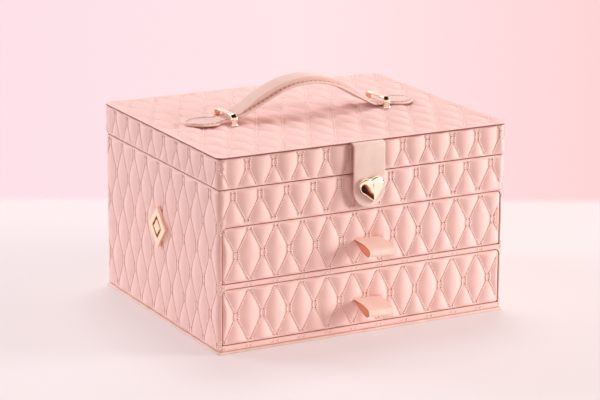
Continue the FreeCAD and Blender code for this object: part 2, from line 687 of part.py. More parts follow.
def clasp_strap():
    """The strap: a rounded root under the lid's rim, a bend forwards and a hanging tab."""
    axis_y = -number(CLASP_AXIS_Y)
    axis_z = number(CLASP_AXIS_Z)
    half = number("Sizes.clasp_thickness / 2")
    inner = number("Sizes.clasp_bend_radius")
    outer = inner + 2 * half
    centre_z = axis_z + half - outer
    slant = math.sqrt(0.5)
    end_z = number("Sizes.clasp_end_height")
    outline = path(
        ("to", axis_y, axis_z - half), ("via", axis_y + half, axis_z), ("to", axis_y, axis_z + half),
        ("via", axis_y - outer * slant, centre_z + outer * slant), ("to", axis_y - outer, centre_z),
        ("to", axis_y - outer, end_z), ("to", axis_y - inner, end_z),
        ("to", axis_y - inner, centre_z),
        ("via", axis_y - inner * slant, centre_z + inner * slant), ("to", axis_y, axis_z - half))
    strap = padded_profile("ClaspStrap", "YZ_Plane", outline, "Sizes.clasp_width")
    corners = [f"Edge{n}" for n, edge in enumerate(strap.Shape.Edges, start=1)
               if all(abs(v.Z - end_z) < 1e-4 for v in edge.Vertexes)
               and abs(edge.Vertexes[0].Y - edge.Vertexes[-1].Y) > 0.1]
    pad = strap.Tip
    ends = strap.newObject("PartDesign::Fillet", "ClaspStrapEnd")
    ends.Base = (pad, corners)
    ends.setExpression("Radius", "Sizes.clasp_width / 2 - Sizes.clasp_end_flat")
    strap.Tip = ends
    return strap


keep(clasp_strap(), "clasp_strap")

STRAP_BACK = f"({CLASP_AXIS_Y} + Sizes.clasp_bend_radius)"
STRAP_FRONT = f"({STRAP_BACK} + Sizes.clasp_thickness)"


def heart_stud():
    """A puffed heart: a square on its corner with a round lobe on each upper side."""
    square = doc.addObject("Part::Box", "HeartSquare")
    for side in ("Length", "Width"):
        square.setExpression(side, "Sizes.heart_size")
    square.setExpression("Height", "Sizes.heart_depth")
    square.Placement.Rotation = FreeCAD.Rotation(Vector(0, 0, 1), 45)
    square.setExpression("Placement.Base.y", "-Sizes.heart_size / sqrt(2)")
    lobes = []
    for sign in ("-", ""):
        lobe = doc.addObject("Part::Cylinder", "HeartLobe")
        lobe.setExpression("Radius", "Sizes.heart_size / 2")
        lobe.setExpression("Height", "Sizes.heart_depth")
        lobe.setExpression("Placement.Base.x", f"{sign}Sizes.heart_size / sqrt(8)")
        lobe.setExpression("Placement.Base.y", "Sizes.heart_size / sqrt(8)")
        lobes.append(lobe)
    blank = fuse(square, *lobes)
    doc.recompute()
    front = number("Sizes.heart_depth")
    heart = rounded(blank, "Sizes.heart_edge_radius",
                    lambda edge: abs(edge.BoundBox.ZMin - front) < 1e-4)
    facing = FreeCAD.Rotation(Vector(1, 0, 0), 90)
    tilt = FreeCAD.Rotation(Vector(0, 1, 0), -number("Sizes.heart_tilt"))
    heart.Placement.Rotation = tilt.multiply(facing)
    heart.setExpression("Placement.Base.x", "Sizes.heart_offset")
    heart.setExpression("Placement.Base.y", f"-{STRAP_FRONT}")
    heart.setExpression("Placement.Base.z", "Sizes.heart_height")
    return heart


keep(heart_stud(), "heart_stud")
keep(rod("Sizes.magnet_radius", "Sizes.magnet_depth",
         ("0", f"-{STRAP_BACK}", "Sizes.heart_height"), ALONG_Y), "clasp_magnet")
keeper_depth = f"{STRAP_BACK} - Sizes.magnet_depth - Sizes.magnet_gap - {HALF_DEPTH}"
keep(rod("Sizes.keeper_radius", keeper_depth,
         ("0", f"-{HALF_DEPTH} - ({keeper_depth})", "Sizes.heart_height"), ALONG_Y), "clasp_keeper")

# ---------------------------------------------------------------- handle strap

CROWN_RADIUS = number("Sizes.strap_crown_radius")
CROWN_CENTRE = number("Sizes.strap_crown_height") - CROWN_RADIUS
NECK_X = number(BRACKET_X)


def strap_side(side):
    """The sign, slope, heel radius and neck height of one side of the strap's underside."""
    sign = 1 if side == "right" else -1
    slope = math.radians(number(f"Sizes.strap_slope_{side}"))
    heel = number(f"Sizes.strap_heel_{side}")
    neck_z = number(f"{LID_PAD_TOP} + Sizes.strap_neck_lift_{side}")
    return sign, slope, heel, neck_z


def crown_end(side, radius):
    """Where a circle about the crown's centre meets the flank of one side."""
    sign, slope, heel, neck_z = strap_side(side)
    return (sign * radius * math.sin(slope), CROWN_CENTRE + radius * math.cos(slope))


def heel_start(side, raised):
    """Where the heel of one side begins, raised square to the strap by a thickness."""
    sign, slope, heel, neck_z = strap_side(side)
    radius = heel - raised
    return (sign * (NECK_X - radius * math.sin(slope)), neck_z + heel - radius * math.cos(slope))


def crown_band(low, high):
    """The outline of an arched band between two heights above the strap's underside."""
    inner = CROWN_RADIUS + low
    outer = CROWN_RADIUS + high
    return path(("to", *crown_end("left", inner)), ("via", 0, CROWN_CENTRE + inner),
                ("to", *crown_end("right", inner)), ("to", *crown_end("right", outer)),
                ("via", 0, CROWN_CENTRE + outer), ("to", *crown_end("left", outer)),
                ("to", *crown_end("left", inner)))


strap_t = number("Sizes.strap_thickness")
pad_t = number("Sizes.strap_pad_thickness")
grip_base = padded_profile("GripBase", "XZ_Plane", crown_band(0, strap_t), "Sizes.strap_width")
grip_pad = padded_profile("GripPad", "XZ_Plane", crown_band(strap_t, strap_t + pad_t),
                          "Sizes.strap_pad_width")
keep(fuse(grip_base, grip_pad), "handle_grip")


def flank(side):
    """The straight, bending stretch of strap between the grip and one end."""
    foot_low = crown_end(side, CROWN_RADIUS)
    foot_mid = crown_end(side, CROWN_RADIUS + strap_t)
    foot_top = crown_end(side, CROWN_RADIUS + strap_t + pad_t)
    head_low = heel_start(side, 0)
    head_mid = heel_start(side, strap_t)
    base = path(("to", *foot_low), ("to", *head_low), ("to", *head_mid), ("to", *foot_mid),
                ("to", *foot_low))
    pad = path(("to", *foot_mid), ("to", *head_mid), ("to", *foot_top), ("to", *foot_mid))
    return fuse(padded_profile(f"Flank_{side}", "XZ_Plane", base, "Sizes.strap_width"),
                padded_profile(f"FlankPad_{side}", "XZ_Plane", pad, "Sizes.strap_pad_width"))


keep(flank("left"), "handle_flank_left")
keep(flank("right"), "handle_flank_right")


def level_arc(crest, end):
    """The middle of the arc that leaves the crest level and runs down to the end."""
    run = end[0] - crest[0]
    drop = crest[1] - end[1]
    radius = (run ** 2 + drop ** 2) / (2 * drop)
    turn = math.asin(run / radius) / 2
    return (crest[0] + radius * math.sin(turn), crest[1] - radius * (1 - math.cos(turn)))


def strap_end(side):
    """One end of the strap: the heel, the neck under the bracket and the tongue beyond it."""
    sign, slope, heel, neck_z = strap_side(side)
    start_x = NECK_X + number("Sizes.tongue_start")
    root_x = start_x + number("Sizes.tongue_overlap")
    root_z = number(f"{LID_PAD_TOP} + Sizes.tongue_gap")
    outer = heel - strap_t
    turn_in = math.sin(slope / 2)
    turn_out = math.cos(slope / 2)
    centre_z = neck_z + heel
    profile = path(
        ("to", *heel_start(side, 0)),
        ("via", sign * (NECK_X - heel * turn_in), centre_z - heel * turn_out),
        ("to", sign * NECK_X, neck_z), ("to", sign * root_x, root_z),
        ("to", sign * root_x, root_z + strap_t), ("to", sign * NECK_X, neck_z + strap_t),
        ("via", sign * (NECK_X - outer * turn_in), centre_z - outer * turn_out),
        ("to", *heel_start(side, strap_t)), ("to", *heel_start(side, 0)))
    strap = padded_profile(f"Neck_{side}", "XZ_Plane", profile, "Sizes.strap_width")
    waist_x = (f"{BRACKET_X} - Sizes.strap_neck_reach", f"{BRACKET_X} + Sizes.tongue_length")
    if side == "left":
        waist_x = mirrored(waist_x)
    waist_y = ("Sizes.strap_neck_width / 2", "Sizes.strap_width")
    waist_z = (LID_BOARD_TOP, f"{LID_BOARD_TOP} + Sizes.bracket_height * 2")
    neck = cut(strap, block(waist_x, waist_y, waist_z), block(waist_x, mirrored(waist_y), waist_z))
    half_shoulder = number("Sizes.tongue_shoulder_width / 2")
    half_wide = number("Sizes.tongue_width / 2")
    length = number("Sizes.tongue_length")
    tip = number("Sizes.tongue_tip_radius")
    crest = (start_x + number("Sizes.tongue_crest"), half_wide)
    tip_x = start_x + length - tip
    turn = math.sqrt(0.5)
    shoulder = (start_x, half_shoulder)
    tip_side = (tip_x + tip * turn, tip * turn)
    outline = [("to", *shoulder), ("via", *level_arc(crest, shoulder)), ("to", *crest),
               ("via", *level_arc(crest, tip_side)), ("to", *tip_side)]
    upper = [(kind, sign * u, v) for kind, u, v in outline]
    lower = [(kind, u, -v) for kind, u, v in reversed(upper)]
    leaf = path(*upper, ("via", sign * (tip_x + tip), 0), *lower, upper[0])
    tongue = padded_profile(f"Tongue_{side}", "XY_Plane", leaf,
                            "Sizes.strap_thickness + Sizes.tongue_extra_thickness",
                            f"{LID_PAD_TOP} + Sizes.tongue_gap")
    return fuse(neck, tongue)


keep(strap_end("left"), "handle_end_left")
keep(strap_end("right"), "handle_end_right")

# ---------------------------------------------------------------- ornament on the left side


def lozenge(name, half_width, half_height, depth):
    """An upright lozenge standing out from the left side."""
    outline = path(("to", -half_width, 0), ("to", 0, half_height), ("to", half_width, 0),
                   ("to", 0, -half_height), ("to", -half_width, 0))
    body = doc.addObject("PartDesign::Body", name)
    sketch = sketch_on(body, "YZ_Plane", name + "Profile")
    sketch.addGeometry(outline, False)
    pad = body.newObject("PartDesign::Pad", name + "Pad")
    pad.Profile = sketch
    pad.Length = depth
    pad.Reversed = True
    body.Tip = pad
    doc.recompute()
    return body


def ornament():
    """A bevelled lozenge ring round a small lozenge."""
    half_w = number("Sizes.ornament_width / 2")
    half_h = number("Sizes.ornament_height / 2")
    band = number("Sizes.ornament_band")
    depth = number("Sizes.ornament_depth")
    scale = 1 - band * math.hypot(half_w, half_h) / (half_w * half_h)
    small = scale * number("Sizes.ornament_centre_scale")
    ring = lozenge("OrnamentRing", half_w, half_h, depth)
    hole = lozenge("OrnamentHole", half_w * scale, half_h * scale, depth + 1)
    heart = lozenge("OrnamentCentre", half_w * small, half_h * small, depth)
    front = -depth

    def on_front(edge):
        return abs(edge.BoundBox.XMin - front) < 1e-4 and abs(edge.BoundBox.XMax - front) < 1e-4

    pieces = []
    for blank in (cut(ring, hole), heart):
        doc.recompute()
        bevel = number("Sizes.ornament_chamfer")
        chosen = [n for n, edge in enumerate(blank.Shape.Edges, start=1) if on_front(edge)]
        bevelled = doc.addObject("Part::Chamfer", "Bevel")
        bevelled.Base = blank
        bevelled.Edges = [(n, bevel, bevel) for n in chosen]
        bevelled.setExpression("Placement.Base.x", f"-{HALF_WIDTH}")
        bevelled.setExpression("Placement.Base.z", "Sizes.ornament_centre_height")
        pieces.append(bevelled)
    return group(*pieces)


keep(ornament(), "side_ornament")

# ---------------------------------------------------------------- check and export

doc.recompute()
for item in doc.Objects:
    bad = [state for state in item.State if state in ("Invalid", "Error")]
    if bad:
        raise RuntimeError(f"{item.Label} did not build: {bad}")

os.makedirs("parts", exist_ok=True)
for piece in nodes:
    shape = piece.Shape
    if shape.isNull() or not shape.isValid() or not shape.Solids:
        raise RuntimeError(f"{piece.Label} has no valid solid")
    shape.exportStep(os.path.join("parts", piece.Label + ".step"))
    box = shape.BoundBox
    print(f"{piece.Label:28s} solids {len(shape.Solids)}  volume {shape.Volume / 1000:8.2f} cm3  "
          f"z {box.ZMin:7.2f} to {box.ZMax:7.2f}")
print(len(nodes), "sub-parts")
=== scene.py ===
# %% [markdown]
# # A quilted makeup case
#
# The case is a stiff box covered in soft, foam-backed leather. Diamonds are sewn through the
# leather and its foam, so each one puffs up between its seams like a small cushion. The frame below
# is the imported model: every piece is made in its place on that frame, and all but the handle
# strap ride on the body that carries them. Sizes are in millimetres here, and MM turns them into
# the frame's metres.

# %%
import bpy
import bmesh
import numpy as np
import json
import math
from mathutils import Matrix, Vector


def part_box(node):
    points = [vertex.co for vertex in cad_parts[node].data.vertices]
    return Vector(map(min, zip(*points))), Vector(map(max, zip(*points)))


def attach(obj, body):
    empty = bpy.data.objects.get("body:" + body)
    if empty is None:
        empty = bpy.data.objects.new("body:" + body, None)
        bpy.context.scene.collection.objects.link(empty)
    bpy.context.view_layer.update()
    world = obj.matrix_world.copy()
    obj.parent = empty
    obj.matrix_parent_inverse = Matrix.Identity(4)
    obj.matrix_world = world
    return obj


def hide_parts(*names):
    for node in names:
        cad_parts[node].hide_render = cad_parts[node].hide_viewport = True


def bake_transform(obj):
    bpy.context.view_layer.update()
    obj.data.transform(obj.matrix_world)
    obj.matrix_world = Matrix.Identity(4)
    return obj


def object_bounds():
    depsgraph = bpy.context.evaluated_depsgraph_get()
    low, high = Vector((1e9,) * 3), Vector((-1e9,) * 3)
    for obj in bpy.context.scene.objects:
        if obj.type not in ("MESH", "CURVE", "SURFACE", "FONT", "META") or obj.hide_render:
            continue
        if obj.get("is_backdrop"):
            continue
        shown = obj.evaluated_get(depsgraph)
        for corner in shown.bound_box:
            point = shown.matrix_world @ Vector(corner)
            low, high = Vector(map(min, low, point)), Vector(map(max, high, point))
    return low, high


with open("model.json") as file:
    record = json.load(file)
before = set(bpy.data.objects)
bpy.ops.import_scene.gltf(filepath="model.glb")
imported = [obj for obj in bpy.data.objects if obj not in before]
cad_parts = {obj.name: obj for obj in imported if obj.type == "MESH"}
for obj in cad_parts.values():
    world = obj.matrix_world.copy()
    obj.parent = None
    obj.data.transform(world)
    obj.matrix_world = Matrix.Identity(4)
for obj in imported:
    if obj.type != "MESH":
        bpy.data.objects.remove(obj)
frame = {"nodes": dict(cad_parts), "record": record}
cad_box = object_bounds()
MM = 0.001


def span(node, axis):
    """The two ends of a solid along an axis, in millimetres."""
    low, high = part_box(node)
    return low[axis] / MM, high[axis] / MM


# %% [markdown]
# ## The faces of the box
#
# The covers are glued to boards. A cover starts on its board's face and rises from there, so
# every height below is measured from that board.

# %%
BOARD_X = span("side_board_right", 0)[1]
BOARD_Y = span("side_board_right", 1)[1]
INNER_X = span("back_board", 0)[1]
HALF_W = span("side_cover_right", 0)[1]
HALF_D = span("side_cover_right", 1)[1]
COVER = HALF_W - BOARD_X
CASE_Z, FASCIA_Z, LID_Z, UPPER_Z, LOWER_Z, SHELF_Z, BASE_Z = (span(node, 2) for node in (
    "back_cover", "fascia_cover", "lid_back_cover", "drawer_top_quilted_face",
    "drawer_bottom_quilted_face", "drawer_shelf", "base_board"))
FACE_X = span("drawer_top_quilted_face", 0)[1]
CORNER = 2 * COVER
print("box", round(2 * HALF_W, 1), "by", round(2 * HALF_D, 1), "mm, cover", round(COVER, 2), "mm")

# %% [markdown]
# ## Meshes from grids
#
# Most pieces are either a sheet, which is a grid of points pushed out by the padding and closed
# by a flat back where it meets the glue, or a band, which is a row of closed rings along a line.
# Both are grids of points, so one helper joins them into faces.

# %%
def points_of(*coordinates):
    """Points from their coordinates. A single number counts for all the points."""
    return np.stack(np.broadcast_arrays(*coordinates), axis=-1)


def put(name, data):
    """An object in the scene, from its data."""
    item = bpy.data.objects.new(name, data)
    bpy.context.scene.collection.objects.link(item)
    return item


def new_mesh(name, points, faces, sharp=50):
    """An object from points in millimetres, smooth except at folds sharper than an angle."""
    mesh = bpy.data.meshes.new(name)
    mesh.from_pydata((np.asarray(points) * MM).tolist(), [], [list(f) for f in faces])
    mesh.validate()
    mesh.polygons.foreach_set("use_smooth", [sharp is not None] * len(mesh.polygons))
    if sharp is not None:
        mesh.set_sharp_from_angle(angle=math.radians(sharp))
    mesh.update()
    return put(name, mesh)


def grid_faces(rows, columns, wrap=False):
    """The quads of a grid of points, closed round its columns where it wraps."""
    index = np.arange(rows * columns).reshape(rows, columns)
    if wrap:
        index = np.hstack([index, index[:, :1]])
    return points_of(index[:-1, :-1], index[:-1, 1:], index[1:, 1:], index[1:, :-1]).reshape(-1, 4)


def face_outwards(piece):
    """Turns every face of a closed mesh to the outside."""
    work = bmesh.new()
    work.from_mesh(piece.data)
    bmesh.ops.recalc_face_normals(work, faces=work.faces)
    work.to_mesh(piece.data)
    work.free()
    return piece


print("faces of a ring of four points:", grid_faces(2, 4, wrap=True).tolist())

# %% [markdown]
# A sheet needs closer lines near its edges, where the leather is folded. A band may have a second
# material on its cut edges. Every piece gets its materials and the body that carries it.

# %%
EDGE = 2.4                                          # width of the close lines at an edge
EDGE_LINES = np.array([0, 0.12, 0.4, 0.85, 1.5])    # their places in it


def spread(low, high, step):
    """Places from low to high about a step apart, and closer together near both ends."""
    edge = min(EDGE, (high - low) / 2.3)
    near = EDGE_LINES * edge / EDGE
    middle = np.linspace(low + edge, high - edge, max(2, int((high - low - 2 * edge) / step) + 1))
    return np.concatenate([low + near, middle, high - near[::-1]])


def closed_sheet(name, points):
    """A sheet of points whose border lies on its board, with a flat back."""
    columns, rows = points.shape[:2]
    faces = grid_faces(columns, rows).tolist()
    index = np.arange(columns * rows).reshape(columns, rows)
    for c in range(1, columns - 2):
        faces.append([index[c, 0], index[c, -1], index[c + 1, -1], index[c + 1, 0]])
    faces.append(list(index[0, ::-1]) + [index[1, 0], index[1, -1]])
    faces.append(list(index[-1, :]) + [index[-2, -1], index[-2, 0]])
    return new_mesh(name, points.reshape(-1, 3), faces)


def band(name, rings, sharp=50, paint=(), ends=1):
    """A closed skin through rings of points. Faces between the painted places get the second
    material, and so do both ends, or they get the first."""
    rings = np.asarray(rings)
    count, around = rings.shape[:2]
    faces = grid_faces(count, around, wrap=True).tolist()
    faces += [list(range(around))[::-1], list(range((count - 1) * around, count * around))]
    piece = face_outwards(new_mesh(name, rings.reshape(-1, 3), faces, sharp))
    if len(paint):
        chosen = [int(k % around in paint) for k in range((count - 1) * around)]
        piece.data.polygons.foreach_set("material_index", chosen + [ends, ends])
    return piece


def dress(piece, body, slot, *materials):
    """Gives a piece its materials and its body. Its slot is not used."""
    for material in materials:
        piece.data.materials.append(material)
    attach(piece, body)
    return piece


print("lines across a sheet of 12 mm:", spread(0, 12, 2).round(1))

# %% [markdown]
# Straps and ribbons are drawn as lines, and the edges of the sheets as curves.

# %%


def distances(line):
    """How far along a line each of its points lies."""
    return np.concatenate([[0], np.cumsum(np.linalg.norm(np.diff(line, axis=0), axis=1))])


def resample(line, step):
    """The same line with its points a step apart."""
    length = distances(line)
    places = np.linspace(0, length[-1], max(2, int(round(length[-1] / step)) + 1))
    return points_of(*(np.interp(places, length, column) for column in line.T))


def normals_of(line):
    """Unit directions square to a line in a plane, to the left of the way it runs."""
    along = np.gradient(line, axis=0)
    along /= np.linalg.norm(along, axis=1, keepdims=True)
    return points_of(-along[:, 1], along[:, 0])


def mirrored(half):
    """A closed outline from its right half, whose two ends lie on the middle line."""
    half = np.asarray(half)
    return np.vstack([half, (half * (-1, 1))[::-1][1:-1]])


def ease(t):
    """A smooth step from 0 to 1."""
    t = np.clip(t, 0, 1)
    return t * t * (3 - 2 * t)


def edge_fold(distance, radius):
    """How far a folded edge has risen: a quarter round."""
    t = np.clip(distance / radius, 0, 1)
    return np.sqrt(1 - (1 - t) ** 2)


def round_corners(u, v, mid, half, radius):
    """Pulls the square corners of a grid in to a round, and gives the ways out at its border."""
    over = [np.abs(at - m) - (h - radius) for at, m, h in zip((u, v), mid, half)]
    in_corner = (over[0] > 0) & (over[1] > 0)
    length = np.maximum(np.hypot(*over), 1e-6)
    pull = np.maximum(*over) / length
    straight = (over[0] > over[1], over[0] <= over[1])
    places, ways = [], []
    for at, m, h, far, along in zip((u, v), mid, half, over, straight):
        side = np.sign(at - m)
        places.append(np.where(in_corner, m + side * (h - radius + far * pull), at))
        ways.append(np.where(in_corner, far / length, along) * side)
    return places, ways


print("an edge of radius 2 has risen by", edge_fold(np.array([0, 0.5, 1, 2]), 2).round(2))

# %% [markdown]
# ## Quilting
#
# The seams run in zigzags. Where two zigzags meet, they stay a few millimetres apart and leave a
# small flat eye between them. Between the seams the foam lifts the leather quickly at first and
# then more slowly, which gives the taut, rounded diamonds.

# %%
PUFF = 2.4             # height of a full diamond over its seams
SEAM_DEPTH = 0.45      # leather left over the board along a seam
CHANNEL = 0.5          # half the width of the flat groove under a row of stitches
ROUNDNESS = 2.4        # the more, the faster a diamond rises from its seams
UNEVEN = 0.07          # how far the diamonds differ, as a share of their height
PUCKER = 0.035         # how far the thread gathers the leather beside a seam, as such a share
PUCKER_REACH, PUCKER_RATE = 2.2, 1.3
STITCH = 2.1
EYE = (1.4, 3.0)       # needle holes at each side of an eye
EYE_BULGE = 2.4        # how far its sides bow out
EYE_FLAT = (3.0, 4.2)  # the leather that an eye holds down
EYE_RISE = 0.16        # how high it stays, as a share of a diamond's height


class Quilt:
    """A diamond pattern: an eye at (u, v), the next one a pitch away, the next row half a pitch on.

    The pattern may be turned a little, and it may be stretched along u where the leather was
    pulled round a corner: places on the leather then match places in the pattern."""

    def __init__(self, u, v, pitch_u, pitch_v, turn=0.0, places=None, pattern=None):
        self.u, self.v = u, v
        self.pitch_u, self.pitch_v = pitch_u, pitch_v
        self.lane = pitch_u * pitch_v / math.hypot(pitch_u, pitch_v)
        self.turn, self.places, self.pattern = turn, places, pattern

    def spin(self, u, v, angle):
        """Turns a place about the first eye."""
        du, dv = u - self.u, v - self.v
        return (self.u + du * math.cos(angle) + dv * math.sin(angle),
                self.v - du * math.sin(angle) + dv * math.cos(angle))

    def to_pattern(self, u, v):
        """Where a place on the leather lies in the pattern."""
        if self.places is not None:
            u = np.interp(u, self.places, self.pattern)
        return self.spin(u, v, self.turn)

    def to_leather(self, points):
        """Where points in the pattern lie on the leather."""
        u, v = self.spin(points[..., 0], points[..., 1], -self.turn)
        if self.places is not None:
            u = np.interp(u, self.pattern, self.places)
        return points_of(u, v)

    def relief(self, u, v):
        """Height over the seams, from 0 to about 1."""
        u, v = self.to_pattern(u, v)
        a = (u - self.u) / self.pitch_u + (v - self.v) / self.pitch_v
        b = (u - self.u) / self.pitch_u - (v - self.v) / self.pitch_v
        near_a, near_b = np.round(a), np.round(b)
        to_a = np.maximum(np.abs(a - near_a) * self.lane - CHANNEL, 0)
        to_b = np.maximum(np.abs(b - near_b) * self.lane - CHANNEL, 0)
        pillow = self.rise(to_a) * self.rise(to_b)
        along = (a - b) * self.pitch_v
        pucker = PUCKER * np.cos(along * PUCKER_RATE) * (np.exp(-to_a / PUCKER_REACH)
                                                         + np.exp(-to_b / PUCKER_REACH))
        lot = np.sin(np.floor(a) * 12.9898 + np.floor(b) * 78.233) * 43758.5453
        fill = 1 + UNEVEN * (2 * (lot - np.floor(lot)) - 1)    # each diamond draws its own lot
        eye_u = u - self.u - self.pitch_u * (near_a + near_b) / 2
        eye_v = v - self.v - self.pitch_v * (near_a - near_b) / 2
        eye = np.exp(-((eye_u / EYE_FLAT[0]) ** 2 + (eye_v / EYE_FLAT[1]) ** 2) ** 2)
        return (pillow * fill + pucker * pillow) * (1 - eye) + EYE_RISE * eye

    def rise(self, distance):
        """The share of its full height that the foam has reached at a distance from a seam."""
        return 1 - (1 - np.clip(distance / (self.lane / 2), 0, 1)) ** ROUNDNESS

    def seams(self, low_u, high_u, low_v, high_v, margin=0.9):
        """Every stitch inside a rectangle, as pairs of ends, and the holes at the eyes."""
        stitches, eyes = [], []
        rows = range(math.floor((low_v - self.v) / self.pitch_v * 2) - 1,
                     math.ceil((high_v - self.v) / self.pitch_v * 2) + 2)
        for row in rows:
            v = self.v + row * self.pitch_v / 2
            first = self.u + (row % 2) * self.pitch_u / 2
            columns = range(math.floor((low_u - first) / self.pitch_u) - 2,
                            math.ceil((high_u - first) / self.pitch_u) + 3)
            for column in columns:
                u = first + column * self.pitch_u
                for side in (-1, 1):
                    stitches += self.leg(u, v, side) + self.bulge(u, v, side)
                    eyes += [(u + side * EYE[0], v + EYE[1]), (u + side * EYE[0], v - EYE[1])]
        stitches = self.to_leather(np.array(stitches))
        eyes = self.to_leather(np.array(eyes))
        box = (low_u + margin, high_u - margin, low_v + margin, high_v - margin)
        inside = self.within(stitches[:, 0], *box) & self.within(stitches[:, 1], *box)
        return stitches[inside], eyes[self.within(eyes, *box)]

    def leg(self, u, v, side):
        """The stitches from one eye to the next one above it."""
        start = np.array([u + side * EYE[0], v + EYE[1]])
        end = np.array([u + side * (self.pitch_u / 2 - EYE[0]), v + self.pitch_v / 2 - EYE[1]])
        ends = np.linspace(start, end, int(np.hypot(*(end - start)) / STITCH) + 1)
        return list(zip(ends[:-1], ends[1:]))

    def bulge(self, u, v, side):
        """Three stitches round one side of an eye."""
        turns = np.array([1, 1 / 3, -1 / 3, -1])
        out = EYE[0] + (EYE_BULGE - EYE[0]) * (1 - turns ** 2)
        ends = points_of(u + side * out, v + EYE[1] * turns)
        return list(zip(ends[:-1], ends[1:]))

    @staticmethod
    def within(points, low_u, high_u, low_v, high_v):
        u, v = points[:, 0], points[:, 1]
        return (u > low_u) & (u < high_u) & (v > low_v) & (v < high_v)


print("stitches from one eye to the next:", len(Quilt(0, 0, 26.1, 50.6).leg(0, 0, 1)))

# %% [markdown]
# ## Thread
#
# The thread is paler than the leather. Each stitch dives into a needle hole at both ends, and each
# hole is a dark disc, painted shade of its inside, which reads as the darker dots of the seam.

# %%
HOLE = 0.26                        # radius of a needle hole
EYE_HOLE = 2.3                     # how much larger the holes at an eye are
BEAD = 0.6                         # radius of a stitch
BEAD_LIFT = 0.42                   # height of its middle over the seam
BEAD_RINGS = ((0.2, 0.4, -0.2), (0.31, 0.95, 0.1), (0.5, 1.0, 0.2), (0.69, 0.95, 0.1),
              (0.8, 0.4, -0.2))    # places along a stitch, with its width and lift there
BEAD_SIDES, HOLE_SIDES = 5, 6


def repeated(faces, count, size):
    """The faces of one small shape for a row of such shapes, with size points each."""
    return (np.asarray(faces)[None] + np.arange(count)[:, None, None] * size).reshape(
        -1, len(faces[0])).tolist()


def thread_mesh(name, starts, ends, normals, radius=BEAD):
    """One low bead of thread for each stitch."""
    along = ends - starts
    length = np.linalg.norm(along, axis=1, keepdims=True)
    along = along / length
    side = np.cross(along, normals)
    side /= np.linalg.norm(side, axis=1, keepdims=True)
    up = np.cross(side, along)
    points = []
    for place, width, lift in BEAD_RINGS:
        centre = starts + along * length * place + up * (lift + BEAD_LIFT)
        for turn in np.arange(BEAD_SIDES) * 2 * np.pi / BEAD_SIDES:
            points.append(centre + radius * width * (np.cos(turn) * side + np.sin(turn) * up))
    size, count = len(points), len(starts)
    skin = grid_faces(len(BEAD_RINGS), BEAD_SIDES, wrap=True)
    faces = repeated(skin, count, size)
    faces += repeated([range(BEAD_SIDES)[::-1]], count, size)
    faces += repeated([range(size - BEAD_SIDES, size)], count, size)
    return new_mesh(name, np.stack(points, axis=1).reshape(-1, 3), faces)


def hole_mesh(name, centres, normals, radii):
    """A small dimple at each needle hole, its rim a little over its middle, dark with painted
    shade.
    """
    helper = np.where(np.abs(normals[:, 2:3]) > 0.9, [[1.0, 0, 0]], [[0, 0, 1.0]])
    first = np.cross(normals, helper)
    first /= np.linalg.norm(first, axis=1, keepdims=True)
    second = np.cross(normals, first)
    points = [centres + normals * 0.02]
    for turn in np.arange(HOLE_SIDES) * 2 * np.pi / HOLE_SIDES:
        ring = radii[:, None] * (np.cos(turn) * first + np.sin(turn) * second)
        points.append(centres + ring + normals * 0.07)
    fan = [[0, 1 + k, 1 + (k + 1) % HOLE_SIDES] for k in range(HOLE_SIDES)]
    return new_mesh(name, np.stack(points, axis=1).reshape(-1, 3),
                    repeated(fan, len(centres), len(points)))


print(len(BEAD_RINGS) * BEAD_SIDES, "points to a stitch,", HOLE_SIDES + 1, "to a hole")

# %% [markdown]
# ## Materials
#
# Every material runs between two close tones under a fine texture. One helper adds a node and
# fills its inputs. The others use it for that texture, its colours and its relief.

# %%


def add(tree, kind, inputs=(), **settings):
    """A node with its settings. Each input takes a value, or a link from another node."""
    node = tree.nodes.new("ShaderNode" + kind)
    for name, value in settings.items():
        setattr(node, name, value)
    for name, value in dict(inputs).items():
        if isinstance(value, bpy.types.NodeSocket):
            tree.links.new(value, node.inputs[name])
        else:
            node.inputs[name].default_value = value
    return node


def shader(name, roughness, metallic=0.0, **sockets):
    """A material with one shader: the material, its node tree and the shader."""
    material = bpy.data.materials.new(name)
    material.use_nodes = True
    bsdf = material.node_tree.nodes["Principled BSDF"]
    bsdf.inputs["Roughness"].default_value = roughness
    bsdf.inputs["Metallic"].default_value = metallic
    for socket, value in sockets.items():
        bsdf.inputs[socket.replace("_", " ")].default_value = value
    return material, material.node_tree, bsdf


def texture(tree, kind, scale, **sockets):
    """A texture that is fixed to the piece."""
    where = add(tree, "TexCoord").outputs["Object"]
    return add(tree, kind, {"Vector": where, "Scale": scale, **sockets})


def ramp(tree, value, stops):
    """The colours that a value runs through, as (place, colour) stops."""
    node = add(tree, "ValToRGB", {"Fac": value})
    elements = node.color_ramp.elements
    while len(elements) < len(stops):
        elements.new(0.5)
    for element, (place, color) in zip(elements, stops):
        element.position = place
        element.color = (*color, 1)
    return node.outputs["Color"]


def tint(tree, bsdf, value, dark, light):
    """The base colour between two tones."""
    color = ramp(tree, value, ((0.3, dark), (0.7, light)))
    tree.links.new(color, bsdf.inputs["Base Color"])
    return color


def bump(tree, bsdf, height, strength, distance):
    """A relief too fine for the mesh."""
    node = add(tree, "Bump", {"Strength": strength, "Distance": distance, "Height": height})
    tree.links.new(node.outputs["Normal"], bsdf.inputs["Normal"])


def mix_shaders(tree, factor, first, second):
    """Two shaders mixed by a factor."""
    return add(tree, "MixShader", {"Fac": factor, 1: first, 2: second}).outputs["Shader"]


print("helpers:", [f.__name__ for f in (add, shader, texture, ramp, tint, bump, mix_shaders)])

# %% [markdown]
# The leather is a pale rose with a pebbled grain and a low satin shine. Its colour is darkened and
# reddened wherever another surface is near: painted shade that stands in for the redder light
# bounced between leather surfaces in creases, seams and gaps.

# %%
# how far from another surface the painted shade in creases reaches
PAINTED_SHADE_REACH = 0.006    # metres, as all lengths in a shader are


